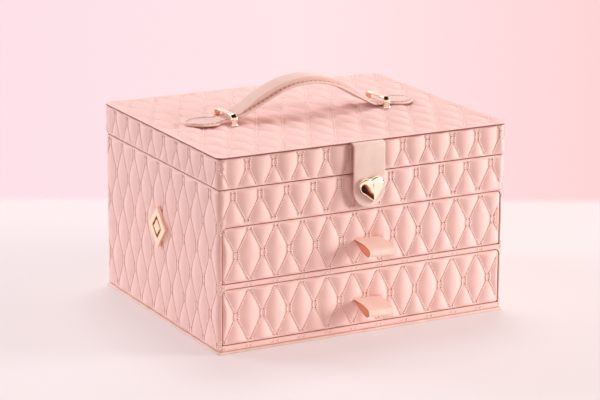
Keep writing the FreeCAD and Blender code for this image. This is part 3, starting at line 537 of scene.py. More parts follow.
def leather(name, dark, light, roughness, grain=0.25, crease_shade=(0.93, 0.65, 0.58)):
    material, tree, bsdf = shader(name, roughness, Sheen_Weight=0.1, Specular_IOR_Level=0.25)
    cloud = texture(tree, "TexNoise", 60, Detail=4)
    plain = tint(tree, bsdf, cloud.outputs["Fac"], dark, light)
    # painted shade: the base colour is multiplied by a darker, redder tone where ambient occlusion
    # is low
    shade = add(tree, "AmbientOcclusion", {"Distance": PAINTED_SHADE_REACH}, samples=6)
    painted_shade = ramp(tree, shade.outputs["AO"], ((0.15, crease_shade), (0.85, (1, 1, 1))))
    both = add(tree, "Mix", {"Factor": 1, "A": plain, "B": painted_shade}, data_type="RGBA",
               blend_type="MULTIPLY")
    tree.links.new(both.outputs["Result"], bsdf.inputs["Base Color"])
    pebble = texture(tree, "TexVoronoi", 1700)
    bump(tree, bsdf, pebble.outputs["Distance"], grain, 0.0001)
    return material


quilted_leather = leather("quilted_leather", (0.822, 0.555, 0.508), (0.852, 0.589, 0.537), 0.55)
smooth_leather = leather("smooth_leather", (0.73, 0.54, 0.47), (0.83, 0.68, 0.60), 0.42,
                         grain=0.2, crease_shade=(0.97, 0.78, 0.72))
strap_leather = leather("strap_leather", (0.71, 0.49, 0.43), (0.75, 0.53, 0.47), 0.34,
                        grain=0.15, crease_shade=(0.92, 0.66, 0.6))
clasp_edge = leather("clasp_edge", (0.78, 0.50, 0.46), (0.83, 0.56, 0.51), 0.5, grain=0.15)
print(len(quilted_leather.node_tree.nodes), "nodes in a leather")

# %% [markdown]
# The other surfaces are metal, thread, ribbon, paper and glass. The dark paper, the needle holes
# and the ribbon's inside and rims carry painted shade. Cloth has a soft sheen, and a thin ribbon
# lets some light through.

# %%


def surface(name, dark, light, roughness, scale, kind="TexNoise", metallic=0.0, sheen=0.0,
            relief=None, through=None, **sockets):
    """A material in two tones. Its texture may also raise it, by a strength and a distance, and
    light of one colour may pass through it, up to a part of all the light."""
    material, tree, bsdf = shader(name, roughness, metallic, Sheen_Weight=sheen)
    value = texture(tree, kind, scale, **sockets).outputs["Fac"]
    tint(tree, bsdf, value, dark, light)
    if relief:
        bump(tree, bsdf, value, *relief)
    if through:
        color, part = through
        soak = add(tree, "BsdfTranslucent", {"Color": (*color, 1)}).outputs["BSDF"]
        tree.links.new(mix_shaders(tree, part, bsdf.outputs["BSDF"], soak),
                       tree.nodes["Material Output"].inputs["Surface"])
    return material


rose_gold = surface("rose_gold", (0.96, 0.71, 0.58), (0.98, 0.77, 0.64), 0.09, 220,
                    metallic=1.0, Detail=3)
polished_gold = surface("polished_gold", (0.99, 0.89, 0.79), (1.0, 0.93, 0.85), 0.05, 160,
                        metallic=1.0, Detail=2)
satin_metal = surface("satin_metal", (0.80, 0.57, 0.46), (0.88, 0.66, 0.55), 0.3, 900,
                      metallic=1.0, relief=(0.08, 0.0001), Detail=2)
plain_steel = surface("plain_steel", (0.55, 0.54, 0.53), (0.68, 0.67, 0.66), 0.3, 900,
                      metallic=1.0, Detail=2)
silvered_glass = surface("silvered_glass", (0.90, 0.91, 0.92), (0.94, 0.95, 0.96), 0.02, 90,
                         metallic=0.75, Detail=2)
thread = surface("thread", (0.98, 0.84, 0.80), (1.0, 0.94, 0.90), 0.6, 2500, sheen=0.3,
                 relief=(0.4, 0.0001), Detail=1)
strap_thread = surface("strap_thread", (0.72, 0.47, 0.41), (0.86, 0.62, 0.55), 0.6, 2500,
                       Detail=1)
# painted shade: the dark inside of a needle hole
needle_hole_shade = surface("needle_hole_shade", (0.32, 0.11, 0.09), (0.45, 0.19, 0.15), 0.9, 3000, Detail=1)
painted_edge = surface("painted_edge", (0.50, 0.20, 0.16), (0.62, 0.29, 0.24), 0.4, 500, Detail=2)
satin_ribbon = surface("satin_ribbon", (1.0, 0.83, 0.73), (1.0, 0.91, 0.82), 0.36, 900,
                       kind="TexWave", sheen=0.5, relief=(0.15, 0.0001),
                       through=((1.0, 0.76, 0.62), 0.3), Distortion=0.4)
# painted shade: the inside of a loop, deeper and redder as though lit only by light bounced within
# it
ribbon_inside_shade = surface("ribbon_inside_shade", (1.0, 0.58, 0.42), (1.0, 0.64, 0.48), 0.5, 1500,
                        sheen=0.3, through=((1.0, 0.72, 0.52), 0.55), Detail=2)
# painted shade: a darker copy of the ribbon for its thin rims
ribbon_rim_shade = surface("ribbon_rim_shade", (0.55, 0.24, 0.17), (0.66, 0.32, 0.23), 0.6, 1500, Detail=1)
suede = surface("suede", (0.72, 0.50, 0.47), (0.84, 0.63, 0.60), 0.95, 700, sheen=0.8,
                relief=(0.35, 0.0002), Detail=5)
covered_board = surface("covered_board", (0.78, 0.54, 0.49), (0.85, 0.62, 0.57), 0.7, 1200,
                        relief=(0.1, 0.0001), Detail=3)
# painted shade: a near-black brown-rose for the boards in the gaps and for the slit under the lid's
# lip
gap_shade_paper = surface("gap_shade_paper", (0.21, 0.055, 0.04), (0.28, 0.08, 0.06), 0.8, 1200, Detail=3)
print(len(bpy.data.materials), "materials, with those of the packed model")

# %% [markdown]
# Every solid takes the material of its slot. The boards that show only in the gaps round the
# drawers and under the lid get a near-black brown-rose instead: painted shade that makes those gaps
# read as deep, shadowed lines.

# %%
SLOT_MATERIAL = {
    "rose_gold": rose_gold, "hinge_steel": satin_metal, "steel": plain_steel,
    "mirror": silvered_glass, "ribbon": satin_ribbon, "suede": suede,
    "drawer_board": covered_board, "smooth_leather": smooth_leather,
    "quilted_leather": quilted_leather, "board": covered_board,
}
EDGE_BOARDS = ("fascia_board", "drawer_shelf", "base_board", "side_board_left",
               "side_board_right", "drawer_top_front_board", "drawer_bottom_front_board",
               "lid_front_board", "lid_side_board_left", "lid_side_board_right")
for piece in frame["record"]["subparts"]:
    node = frame["nodes"][piece["node"]]
    # painted shade: the boards seen in the gaps get the near-black paper
    edge = piece["node"] in EDGE_BOARDS
    node.data.materials.clear()
    node.data.materials.append(gap_shade_paper if edge else SLOT_MATERIAL[piece["material_slot"]])
print(len(frame["nodes"]), "solids have a material")

# %% [markdown]
# ## Covers
#
# A flat cover lies on one face. A folded cover goes round the case's upright corners, so its
# place along the pattern is the length of leather from the middle of the front.

# %%


class FlatFace:
    """Places a sheet on a face: an origin, the directions of u and v, and the way out."""

    def __init__(self, origin, u_way, v_way, out):
        self.origin, self.u_way, self.v_way, self.out = map(np.array, (origin, u_way, v_way, out))

    def place(self, u, v, height):
        return (self.origin + u[..., None] * self.u_way + v[..., None] * self.v_way
                + height[..., None] * self.out)

    def normal(self, u):
        return np.broadcast_to(self.out, u.shape + (3,)).astype(float)


class FoldedFace:
    """A sheet round a side of the box, from a lip on the front to a lip on the back."""

    def __init__(self, side):
        self.side = side
        self.bend = CORNER - COVER
        self.front = BOARD_X - self.bend
        self.scale = CORNER * math.pi / 2
        self.side_start = self.front + self.scale
        self.side_length = 2 * (BOARD_Y - self.bend)
        self.back_start = self.side_start + self.side_length
        self.back = self.back_start + self.scale
        self.end = self.back + (self.front - INNER_X)

    def frame(self, u):
        """The point on the board and the way out, at a length from the middle of the front."""
        turn = sum(np.clip((u - start) / self.scale, 0, 1) * math.pi / 2
                   for start in (self.front, self.back_start))
        x = (np.minimum(u, self.front) + self.bend * np.sin(turn)
             - np.maximum(u - self.back, 0))
        y = (self.bend - BOARD_Y - self.bend * np.cos(turn)
             + np.clip(u - self.side_start, 0, self.side_length))
        return (points_of(self.side * x, y, 0.0),
                points_of(self.side * np.sin(turn), -np.cos(turn), 0.0))

    def place(self, u, v, height):
        point, out = self.frame(u)
        point = point + height[..., None] * out
        point[..., 2] = v
        return point

    def normal(self, u):
        return self.frame(u)[1]


print("leather round one side:", round(FoldedFace(1).end - INNER_X, 1), "mm")

# %% [markdown]
# The leather's height is the quilting over a base. Round an upright corner the pull of the
# wrapping flattens the diamonds, and the leather is drawn in to a round that is larger than the
# corner of the boards.

# %%
EDGE_RISE = 1.25    # how high the leather stands at the edge of a panel, where it is straight
CORNER_ROUND = 6.0  # radius of the leather round the case's upright corners
CORNER_RISE = 1.9   # its height over the boards beside a corner
CORNER_FLAT = 0.5   # how much flatter the diamonds are there
CORNER_PAD = 1.2    # and how much higher their seams lie
CORNER_REACH = 8.0
BEND_LINES = 13     # close lines of the grid round each bend, which keep it round


def corner_drop(u, place, face):
    """How much lower the leather lies near an upright corner, where it is drawn in to a round."""
    reach = CORNER_ROUND - CORNER_RISE
    angle = np.clip((u - place) / face.scale, 0, 1) * math.pi / 2
    beyond = np.maximum(np.maximum(place - u, u - place - face.scale), 0)
    away = (reach - face.bend) * (np.sin(angle) + np.cos(angle))
    bent = np.sqrt(CORNER_ROUND ** 2 + away ** 2 - 2 * (reach - face.bend) ** 2) - away - face.bend
    flat = np.sqrt(CORNER_ROUND ** 2 - np.maximum(reach - face.bend - beyond, 0) ** 2) - reach
    return CORNER_RISE - np.where(beyond > 0, flat, bent)


def leather_rise(u, v, quilt, base, puff, face=None):
    """The height of quilted leather over its board, away from the edges of the sheet."""
    relief, extra = quilt.relief(u, v), 0
    for place in (face.front, face.back_start) if face else ():
        near = np.exp(-((u - place - face.scale / 2) / CORNER_REACH) ** 2)
        relief = relief * (1 - CORNER_FLAT * near)
        extra = extra + CORNER_PAD * near - corner_drop(u, place, face)
    return base + extra + puff * relief


print("a seam lies", SEAM_DEPTH, "mm over its board and a full diamond", SEAM_DEPTH + PUFF)

# %% [markdown]
# A cover is then one sheet with its thread and its needle holes. Its height over the board has
# three parts: the quilting, the fold at each edge, and the dips where something holds it down.

# %%
FOLD = 2.2          # how far in a fold of size 1 reaches
PULLED = 2.0        # how far in from an edge the leather is pulled straight
SHARED = 3.5        # how far in from a folded sheet a flat one keeps that sheet's shape
OPENING = 0.2       # how sharply a folded edge ends at the top of an opening
DIP_FADE = 3.0      # how softly a dip ends at its sides
LOW_SHARE = 0.45    # the radius of a drawer's lower corners, as a share of the upper ones'


def sew(name, body, face, seams, height, lift=0.12, hole=HOLE, bead=BEAD):
    """The thread and the needle holes of a quilted sheet, lifted a little over its height."""
    def on_surface(at):
        return face.place(at[:, 0], at[:, 1], height(at[:, 0], at[:, 1]) + lift)

    stitches, eyes = seams
    starts, ends = on_surface(stitches[:, 0]), on_surface(stitches[:, 1])
    normals = face.normal(stitches[:, :, 0].mean(axis=1))
    radii = np.concatenate([np.full(len(starts), hole), np.full(len(eyes), EYE_HOLE * hole)])
    holes = hole_mesh(name + "_holes", np.concatenate([starts, on_surface(eyes)]),
                      np.concatenate([normals, face.normal(eyes[:, 0])]), radii)
    sewn = thread_mesh(name + "_thread", starts, ends, normals, bead)
    dress(sewn, body, "quilted_leather", thread)
    dress(holes, body, "quilted_leather", needle_hole_shade)


def quilted_cover(name, body, node, face, quilt, u_span, v_span, step, folds=(1, 1, 1, 1),
                  puff=PUFF, base=SEAM_DEPTH, dips=(), open_below=None, corner=0.0, beside=None):
    """A quilted sheet, its thread and its needle holes, on one body in place of one solid.

    Each of its four edges is folded over, or runs on flat into the next sheet. The first edge
    may be folded only below a height, where it frames an opening. Beside a folded sheet, a flat
    one takes that sheet's shape: its quilt, base, puff and face."""
    folded = hasattr(face, "front")
    bends = [face.front, face.side_start, face.back_start] if folded else []
    lines = [np.linspace(b - CORNER * 1.6, b + CORNER * 1.6, BEND_LINES) for b in bends]
    u = np.unique(np.concatenate([spread(*u_span, step), *lines]))
    u = u[(u >= u_span[0]) & (u <= u_span[1])]
    grid_u, grid_v = np.meshgrid(u, spread(*v_span, step), indexing="ij")

    def height(u, v):
        edges = (u - u_span[0], u_span[1] - u, v - v_span[0], v_span[1] - v)
        below = 1 / (1 + np.exp((v - open_below) / OPENING)) if open_below else 0.0
        fold, full = np.ones_like(u), np.ones_like(u)
        for number, (distance, size) in enumerate(zip(edges, folds)):
            bend = edge_fold(distance, FOLD * size) if size else np.ones_like(u)
            pull = 0.0 if beside and number < 2 else 1.0
            if number == 0 and open_below:
                bend = 1 - (1 - bend) * below
            if number == 0 and folded:
                pull = below
            fold = fold * bend
            full = full * (1 - pull * np.exp(-(distance / PULLED) ** 2))
        rise = leather_rise(u, v, quilt, base, puff, face if folded else None)
        if beside:
            part = np.exp(-(np.minimum(edges[0], edges[1]) / SHARED) ** 2)
            rise = rise + (leather_rise(np.abs(u), v, *beside) - rise) * part
        rise = EDGE_RISE + (rise - EDGE_RISE) * full
        for centre, reach, depth in dips:
            away = np.maximum(np.abs(u - centre[0]) - reach[0], 0) ** 2 / DIP_FADE ** 2
            away = away + ((v - centre[1]) / reach[1]) ** 2
            rise = rise * (1 - depth * np.exp(-away))
        return fold * rise

    flat = (grid_u, grid_v)
    if corner:
        mid = sum(u_span) / 2, sum(v_span) / 2
        radius = np.where(grid_v > mid[1], corner, LOW_SHARE * corner)
        flat, _ = round_corners(*flat, mid, (u_span[1] - mid[0], v_span[1] - mid[1]), radius)
    points = face.place(*flat, height(grid_u, grid_v))
    sheet = closed_sheet(name, points[::-1] if folded and face.side < 0 else points)
    sew(name, body, face, quilt.seams(*u_span, *v_span), height)
    dress(sheet, body, "quilted_leather", quilted_leather)
    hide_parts(node)


print("a fold reaches", FOLD, "mm in from the edge of a sheet")

# %% [markdown]
# ## Quilted panels
#
# Each panel is cut from its own piece of quilting, so the diamonds of neighbouring panels do not
# quite line up. A pattern gives the place of one eye and how far it is to the next ones.

# %%
FINE, COARSE = 1.0, 1.5    # steps of the grids that are seen from the front, and of the others
front = FlatFace((0, -BOARD_Y, 0), (1, 0, 0), (0, 0, 1), (0, -1, 0))
back = FlatFace((0, BOARD_Y, 0), (-1, 0, 0), (0, 0, 1), (0, 1, 0))
ACROSS = (-INNER_X, INNER_X)

fascia_rows = Quilt(-130.2, 140.9, 26.1, 50.6)
lid_rows = Quilt(-116.4, 167.2, 25.74, 52.5)
upper_face = Quilt(-127.7, 87.9, 26.17, 50.8)
lower_face = Quilt(-127.7, 33.0, 25.8, 50.8)
PULL_DROP = 1.5            # how far the ribbons' slits lie below the middle of a drawer
SLIT_REACH, SLIT_DIP = 1.3, 0.45    # how far up and down a slit holds the leather, and how much
FACE_CORNER = 3.0
FACE_GROWTH = 0.3          # how far a drawer's padding swells past its board, on each side
SIDE_PUFF, LID_SIDE_BASE = 2.2, SEAM_DEPTH + 0.6

# The two eyes beside a corner lie further apart on the leather than in the pattern.
EDGE_EYE, SIDE_EYE, SIDE_PITCH, FAR = 130.2, 163.1, 26.2, 800
STRETCH = SIDE_EYE - EDGE_EYE - SIDE_PITCH
wrap = Quilt(EDGE_EYE, 141.4, SIDE_PITCH, 54.2, places=(-FAR, EDGE_EYE, SIDE_EYE, FAR),
             pattern=(-FAR, EDGE_EYE, EDGE_EYE + SIDE_PITCH, FAR - STRETCH))
case_side = (wrap, SEAM_DEPTH, SIDE_PUFF, FoldedFace(-1))
lid_side = (wrap, LID_SIDE_BASE, SIDE_PUFF, FoldedFace(-1))

quilted_cover("fascia_quilt", "case", "fascia_cover", front, fascia_rows, ACROSS,
              FASCIA_Z, FINE, folds=(0, 0, 1, 1), beside=case_side)
for name, quilt, z in (("drawer_top", upper_face, UPPER_Z), ("drawer_bottom", lower_face, LOWER_Z)):
    low, high = span(name + "_ribbon_pull", 0)
    slit = (((low + high) / 2, sum(z) / 2 - PULL_DROP), ((high - low) / 2, SLIT_REACH), SLIT_DIP)
    quilted_cover(name + "_quilt", name, name + "_quilted_face", front, quilt,
                  (-FACE_X - FACE_GROWTH, FACE_X + FACE_GROWTH), z, FINE, dips=[slit],
                  corner=FACE_CORNER)
quilted_cover("lid_front_quilt", "lid", "lid_front_cover", front, lid_rows, ACROSS,
              LID_Z, FINE, folds=(0, 0, 0.8, 1.2), beside=lid_side)
quilted_cover("lid_back_quilt", "lid", "lid_back_cover", back, lid_rows, ACROSS,
              LID_Z, COARSE, folds=(0, 0, 1, 0.6))
quilted_cover("back_quilt", "case", "back_cover", back, fascia_rows, ACROSS,
              CASE_Z, COARSE, folds=(0, 0, 1, 1))
print("flat panels done")

# %% [markdown]
# The side panels are wrapped round the upright corners, and the pull of the wrapping stretches
# the diamonds there.

# %%
for side, sign, step in (("left", -1, FINE), ("right", 1, COARSE)):
    face = FoldedFace(sign)
    quilted_cover(f"{side}_quilt", "case", f"side_cover_{side}", face, wrap,
                  (INNER_X, face.end), CASE_Z, step, folds=(0.5, 0, 1, 0.8),
                  open_below=UPPER_Z[1] + 0.3, puff=SIDE_PUFF)
    quilted_cover(f"lid_{side}_quilt", "lid", f"lid_side_cover_{side}", face, wrap,
                  (INNER_X, face.end), LID_Z, step, folds=(0, 0, 0.8, 1.5), base=LID_SIDE_BASE,
                  puff=SIDE_PUFF)
print("side panels reach from", round(INNER_X, 1), "to", round(face.end, 1), "mm of leather")

# %% [markdown]
# ## Front strips
#
# The shelf between the drawers and the board under them show as narrow strips of the same
# quilted leather, pulled nearly flat.

# %%
for name, z in (("shelf", SHELF_Z), ("base", BASE_Z)):
    strip = Quilt(-114.7, sum(z) / 2, 26.18, 51.0)
    quilted_cover(name + "_strip", "case", "front_edge_trims", front, strip, ACROSS, z, FINE,
                  folds=(0, 0, 0.45, 0.45), puff=0.7, base=1.0)
print("strips", round(SHELF_Z[1] - SHELF_Z[0], 2), "and", round(BASE_Z[1] - BASE_Z[0], 2), "mm")

# %% [markdown]
# The openings of the drawers have round upper corners. The leather is gathered there, and it fills
# each corner of the frame in front of the boards. The lower corners stay nearly square, because the
# walls of the drawer pass close by them.

# %%
HIGH_CORNER = 3.5
FILL_DEPTHS = (0.02, 0.7, 1.05, 1.2)    # how far in front of the boards the filling's rings lie


def corner_piece(name, x, z, radius):
    """The filled corner of an opening, from its square corner at (x, z) to a round one."""
    side = np.sign(x)
    turns = np.linspace(0, math.pi / 2, 9)
    arc = points_of(x - side * radius * (1 - np.cos(turns)), z - radius * (1 - np.sin(turns)))
    outline = np.vstack([arc, [[x - side * radius, z + 0.5], [x + side * 0.7, z + 0.5],
                               [x + side * 0.7, z - radius]]])
    middle = outline.mean(axis=0)
    shrunk = middle + (outline - middle) * 0.86
    rings = [points_of(ring[:, 0], -BOARD_Y - depth, ring[:, 1])
             for depth, ring in zip(FILL_DEPTHS, (outline, outline, outline, shrunk))]
    dress(band(name, rings, sharp=70), "case", "quilted_leather", smooth_leather)


for row, high in (("upper", FASCIA_Z[0]), ("lower", SHELF_Z[0])):
    for side, x in (("left", -INNER_X), ("right", INNER_X)):
        corner_piece(f"{row}_{side}_high_corner", x, high, HIGH_CORNER)
print("opening corners, radius", HIGH_CORNER, "mm")

# %% [markdown]
# ## The top sheet
#
# The lid's quilted top runs out over the sides, and its edge is folded under into a thin lip, with
# a slit below it. The lip's underside is painted dark, as painted shade for that slit.

# %%
TOP_X = span("lid_quilted_top", 0)[1]
TOP_Y = span("lid_quilted_top", 1)[1]
TOP_Z = span("lid_quilted_top", 2)[1]
PAD_Z = span("lid_top_board", 2)[1]
LIP_Z = PAD_Z + 1.75             # the underside of the solid's lip
LIP_MIDDLE = (LIP_Z + TOP_Z) / 2
TOP_CORNER = 6.0
TOP_SEAM, RIM_SEAM = 0.6, 1.7    # height of the seams, and how much higher they are at the rim
NOSE, NOSE_LINES = 0.6, np.array([0, 0.04, 0.14, 0.3, 0.6, 1.1])    # the lip's round front
FOOT_REACH, FOOT_PRESS = (6, 5), 0.7
FEET = []                        # where the brackets press the sheet down
for side in ("left", "right"):
    x = sum(span(f"handle_bracket_{side}", 0)) / 2
    low, high = span(f"handle_bracket_{side}", 1)
    FEET += [(x, low + 2), (x, high - 2)]


def top_height(x, y, quilt):
    """The height of the top sheet, which is drawn flatter towards its edge and at the feet."""
    edge = np.minimum(TOP_X - np.abs(x), TOP_Y - np.abs(y))
    seam = PAD_Z + TOP_SEAM + RIM_SEAM * np.exp(-(edge / 3.5) ** 2)
    crest = TOP_Z - 0.1
    height = seam + (crest - seam) * np.clip(quilt.relief(x, y), 0, 1)
    for foot in FEET:
        reach = np.hypot((x - foot[0]) / FOOT_REACH[0], (y - foot[1]) / FOOT_REACH[1])
        height = height - (height - PAD_Z - 1.0) * FOOT_PRESS * np.exp(-reach ** 4)
    return height


print("lid's top at", round(TOP_Z, 1), "mm,", len(FEET), "feet")

# %% [markdown]
# The sheet's upper side is a grid, and rings of points carry its border round the lip and in under
# it. The leather ends at the first ring, and the rest is painted dark: painted shade for the slit
# under the lip.

# %%
UNDERSIDE = ((0.08, LIP_MIDDLE - 0.25), (0.2, LIP_Z + 0.1), (0.26, LIP_Z - 0.95),
             (2.6, LIP_Z - 0.95), (3.2, PAD_Z + 0.4))    # how far in each ring is, and how high


def quilted_top(quilt):
    """The top sheet with its thread and its needle holes."""
    x, y = (np.concatenate([-half + NOSE_LINES,
                            np.linspace(-half + 1.8, half - 1.8, int(2 * half / FINE)),
                            half - NOSE_LINES[::-1]]) for half in (TOP_X, TOP_Y))
    grid_x, grid_y = np.meshgrid(x, y, indexing="ij")
    rise = edge_fold(np.minimum(TOP_X - np.abs(grid_x), TOP_Y - np.abs(grid_y)), NOSE)
    height = LIP_MIDDLE + (top_height(grid_x, grid_y, quilt) - LIP_MIDDLE) * rise
    flat, ways = round_corners(grid_x, grid_y, (0, 0), (TOP_X, TOP_Y), TOP_CORNER)
    points = [points_of(*flat, height).reshape(-1, 3)]
    columns, rows = height.shape
    index = np.arange(columns * rows).reshape(columns, rows)
    last = np.concatenate([index[:-1, 0], index[-1, :-1], index[:0:-1, -1], index[0, :0:-1]])
    faces = grid_faces(columns, rows).tolist()
    loop, way = (points_of(*pair).reshape(-1, 2)[last] for pair in (flat, ways))
    for inset, z in UNDERSIDE:
        ring = np.arange(len(loop)) + sum(map(len, points))
        points.append(points_of(*(loop - way * inset).T, z))
        faces += points_of(last, np.roll(last, -1), np.roll(ring, -1), ring).tolist()
        last = ring
    faces.append(last.tolist())
    sheet = face_outwards(new_mesh("top_quilt", np.concatenate(points), faces))
    # painted shade: the rings under the lip get the near-black paper
    painted = np.zeros(len(faces), int)
    painted[-4 * len(loop) - 1:-1] = 1    # the last four rings, without the flat end
    sheet.data.polygons.foreach_set("material_index", painted)
    sew("top_quilt", "lid", FlatFace((0, 0, 0), (1, 0, 0), (0, 1, 0), (0, 0, 1)),
        quilt.seams(-TOP_X, TOP_X, -TOP_Y, TOP_Y, margin=1.0),
        lambda x, y: top_height(x, y, quilt), lift=0.03, hole=0.2, bead=0.3)
    dress(sheet, "lid", "quilted_leather", quilted_leather, gap_shade_paper)
    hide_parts("lid_quilted_top")
    return sheet


top_sheet = quilted_top(Quilt(-105.7, -112.9, 26.28, 52.6, turn=-0.012))
print("top sheet", len(top_sheet.data.vertices), "points")

# %% [markdown]
# ## The base panel
#
# The case stands on a thin panel that sticks out by a millimetre all round, covered in smooth
# leather with softly rounded edges.

# %%
BASE_CORNER = 2.5


def rounded_outline(half_x, half_y, radius):
    """A rectangle with round corners, as points round its edge."""
    points = []
    for quarter, (sx, sy) in enumerate(((1, 1), (-1, 1), (-1, -1), (1, -1))):
        angle = np.linspace(0, math.pi / 2, 7) + quarter * math.pi / 2
        points.append(points_of(sx * (half_x - radius) + radius * np.cos(angle),
                                sy * (half_y - radius) + radius * np.sin(angle)))
    return np.concatenate(points)


low, high = span("base_panel", 2)
half_x, half_y = span("base_panel", 0)[1], span("base_panel", 1)[1]
rings = [points_of(*rounded_outline(half_x - inset, half_y - inset, BASE_CORNER).T, z)
         for inset, z in ((0.7, low), (0.25, low + 0.2), (0.05, low + 0.6), (0, (low + high) / 2),
                          (0.05, high - 0.6), (0.25, high - 0.2), (0.7, high))]
base = dress(band("base_slab", rings), "case", "smooth_leather", smooth_leather)
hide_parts("base_panel")
print("base panel", round(2 * half_x, 1), "by", round(2 * half_y, 1), "mm")

# %% [markdown]
# ## Clasp
#
# A tab of two layers of leather is glued together and its cut edge is sealed. It is sewn under
# the lid's lip, bends forwards and hangs down over the front.

# %%
CLASP_HALF = span("clasp_strap", 0)[1]
CLASP_LOW = span("clasp_strap", 2)[0]
CLASP_THICK = 2.1
AXIS_Y = -(span("lid_quilted_top", 1)[1] + 1.3)
AXIS_Z = span("clasp_root", 2)[1] - CLASP_THICK / 2
CUT_EDGES = (1, 2, 3, 4, 14, 15, 16, 17)    # the places round its section that are painted


def strap_section(half, thick, edge):
    """The outline of a flat strap across its width, as (across, up) from the middle of its
    underside."""
    side = [(half - 1.6, 0.0), (half - edge, 0.03), (half - 0.12, edge * 0.4),
            (half, thick * 0.5), (half - 0.12, thick - edge * 0.4), (half - edge, thick - 0.03),
            (half - 1.6, thick)]
    upper = side + [(half * f, thick) for f in (0.66, 0.33, 0.0)]
    left = [(-a, b) for a, b in upper[::-1][1:]]
    lower = [(-half * f, 0.0) for f in (0.66, 0.33, 0.0, -0.33, -0.66)]
    return np.array(upper + left + lower)


def clasp_tab():
    """The strap's sections along a line that bends over the lip and hangs down, to a round end."""
    bend = 2.1 + CLASP_THICK / 2
    turns = np.linspace(0, math.pi / 2, 9)
    centre_z = AXIS_Z - bend
    curve = points_of(AXIS_Y - bend * np.sin(turns), centre_z + bend * np.cos(turns))
    hang = points_of(AXIS_Y - bend, np.linspace(centre_z, CLASP_LOW + 0.05, 40))
    line = resample(np.vstack([[AXIS_Y + 0.9, AXIS_Z], curve, hang[1:]]), 1.0)
    tip = hang[-1] + np.outer(np.linspace(-1.0, 0, 9) ** 3, [0, -1.0])
    line = np.vstack([line[:-1], tip])
    end = CLASP_HALF - 0.1
    rings = []
    for (y, z), (ny, nz) in zip(line, -normals_of(line)):
        below = max(0.0, CLASP_LOW + end - z)
        half = 0.1 + math.sqrt(max(end ** 2 - below ** 2, 0.0)) if below else CLASP_HALF
        section = strap_section(max(half, 0.35), CLASP_THICK, min(0.55, half))
        rise = section[:, 1] - CLASP_THICK / 2
        rings.append(points_of(section[:, 0], y + rise * ny, z + rise * nz))
    tab = band("clasp_tab", rings, paint=CUT_EDGES)
    dress(tab, "clasp", "smooth_leather", smooth_leather, clasp_edge)
    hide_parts("clasp_strap")


clasp_tab()
print("clasp hangs to", round(CLASP_LOW, 1), "mm")

# %% [markdown]
# ## Heart stud
#
# The stud is cast metal, plated and polished: a flat base, a thin rim and a domed face that
# follows the outline, with a crease down from the notch. Each ring of the dome is the outline
# drawn in towards the middle.

# %%
HEART_X = 1.7
HEART_Z = 132.3
HEART_SIZE = 15.1
HEART_TILT = math.radians(7.5)
HEART_FRONT, HEART_BASE = span("heart_stud", 1)
HEART_DEPTH = HEART_BASE - HEART_FRONT
RIM_DEPTH, DOME = 2.3, 0.93    # thickness of the base, and the dome's share of the outline
HEART_RIM = [(1.0, 0.0), (1.0, RIM_DEPTH), (0.99, 2.6), (0.965, 2.7), (0.945, 2.6),
             (DOME, RIM_DEPTH)]


def heart_outline(steps=22):
    """A square on its corner with a half circle on each upper side, round the square's middle."""
    lobe = HEART_SIZE / 2
    middle = HEART_SIZE / math.sqrt(8)
    tip = -HEART_SIZE / math.sqrt(2)
    turns = np.linspace(-math.pi / 4, 3 * math.pi / 4, steps)
    right = points_of(middle + lobe * np.cos(turns), middle + lobe * np.sin(turns))
    side = np.linspace((0, tip), right[0], 12)[:-1]
    return mirrored(np.vstack([side, right]))


def heart_stud():
    """The outline at each share of its size, as far out as the rim or the dome stands there."""
    outline = heart_outline()
    dome = [(s, RIM_DEPTH + (HEART_DEPTH - RIM_DEPTH) * (1 - (s / DOME) ** 2.6) ** 0.45)
            for s in (0.928, 0.92, 0.90, 0.86, 0.8, 0.72, 0.62, 0.5, 0.38, 0.26, 0.15, 0.06)]
    cos, sin = math.cos(HEART_TILT), math.sin(HEART_TILT)
    rings = []
    for scale, depth in HEART_RIM + dome:
        a, b = (outline * scale).T
        rings.append(points_of(HEART_X + a * cos - b * sin, HEART_BASE - depth,
                               HEART_Z + a * sin + b * cos))
    stud = dress(band("heart_dome", rings, sharp=40), "clasp", "rose_gold", polished_gold)
    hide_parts("heart_stud")


heart_stud()
print("heart", round(HEART_DEPTH, 1), "mm thick")

# %% [markdown]
# ## Ribbon pulls
#
# Each drawer opens with a loop of satin ribbon. Both ends go through a slit in the front board
# and are stuck flat behind it, one up and one down. The loop is drawn as one line seen from the
# side, and the ribbon is a thin band along it.

# %%
LOOP_END = 3.6            # radius of the loop's round end
LOOP_REACH = 27.3         # how far it stands out in front of the box
LOOP_DROP = 6.1           # how far its end hangs down
RIBBON_HALF = 0.35        # half its thickness, as it is drawn
SWAY = 0.28               # how far the loose part is out of flat
BOW = 1.2                 # how far its two sides bow out between the slit and the round end
SLIT_GAP = 0.4            # how far the middle of each layer lies from the middle of the slit


def ribbon_line():
    """The middle of the ribbon from its upper end to its lower end, from the slit's middle."""
    root_y = -HALF_D
    centre = np.array([root_y - (LOOP_REACH - LOOP_END - RIBBON_HALF), -LOOP_DROP])
    tilt = math.atan2(-centre[1], root_y - centre[0])
    up = np.array([-math.sin(tilt), math.cos(tilt)])
    top, bottom = centre + LOOP_END * up, centre - LOOP_END * up
    t = np.linspace(0, 1, 24)[:, None]
    upper = np.array([root_y, SLIT_GAP]) * (1 - t) + top * t
    upper = upper + 27 / 4 * t ** 2 * (1 - t) * (0, BOW)
    lower = bottom * (1 - t) + np.array([root_y, -SLIT_GAP]) * t
    lower = lower - 27 / 4 * t * (1 - t) ** 2 * (0, BOW)
    nose = [centre + LOOP_END * (math.cos(a) * up + math.sin(a) * np.array([-up[1], up[0]]))
            for a in np.linspace(0, math.pi, 15)[1:-1]]
    back = span("drawer_top_front_board", 1)[1]
    tail = back + 0.8
    start = [(tail, 4.4), (tail, 1.0), (tail - 0.25, 0.55), (back - 0.4, SLIT_GAP)]
    return np.vstack([start, upper, nose, lower, (np.array(start) * (1, -1))[::-1]])


print("the loop stands", LOOP_REACH, "mm out in front")
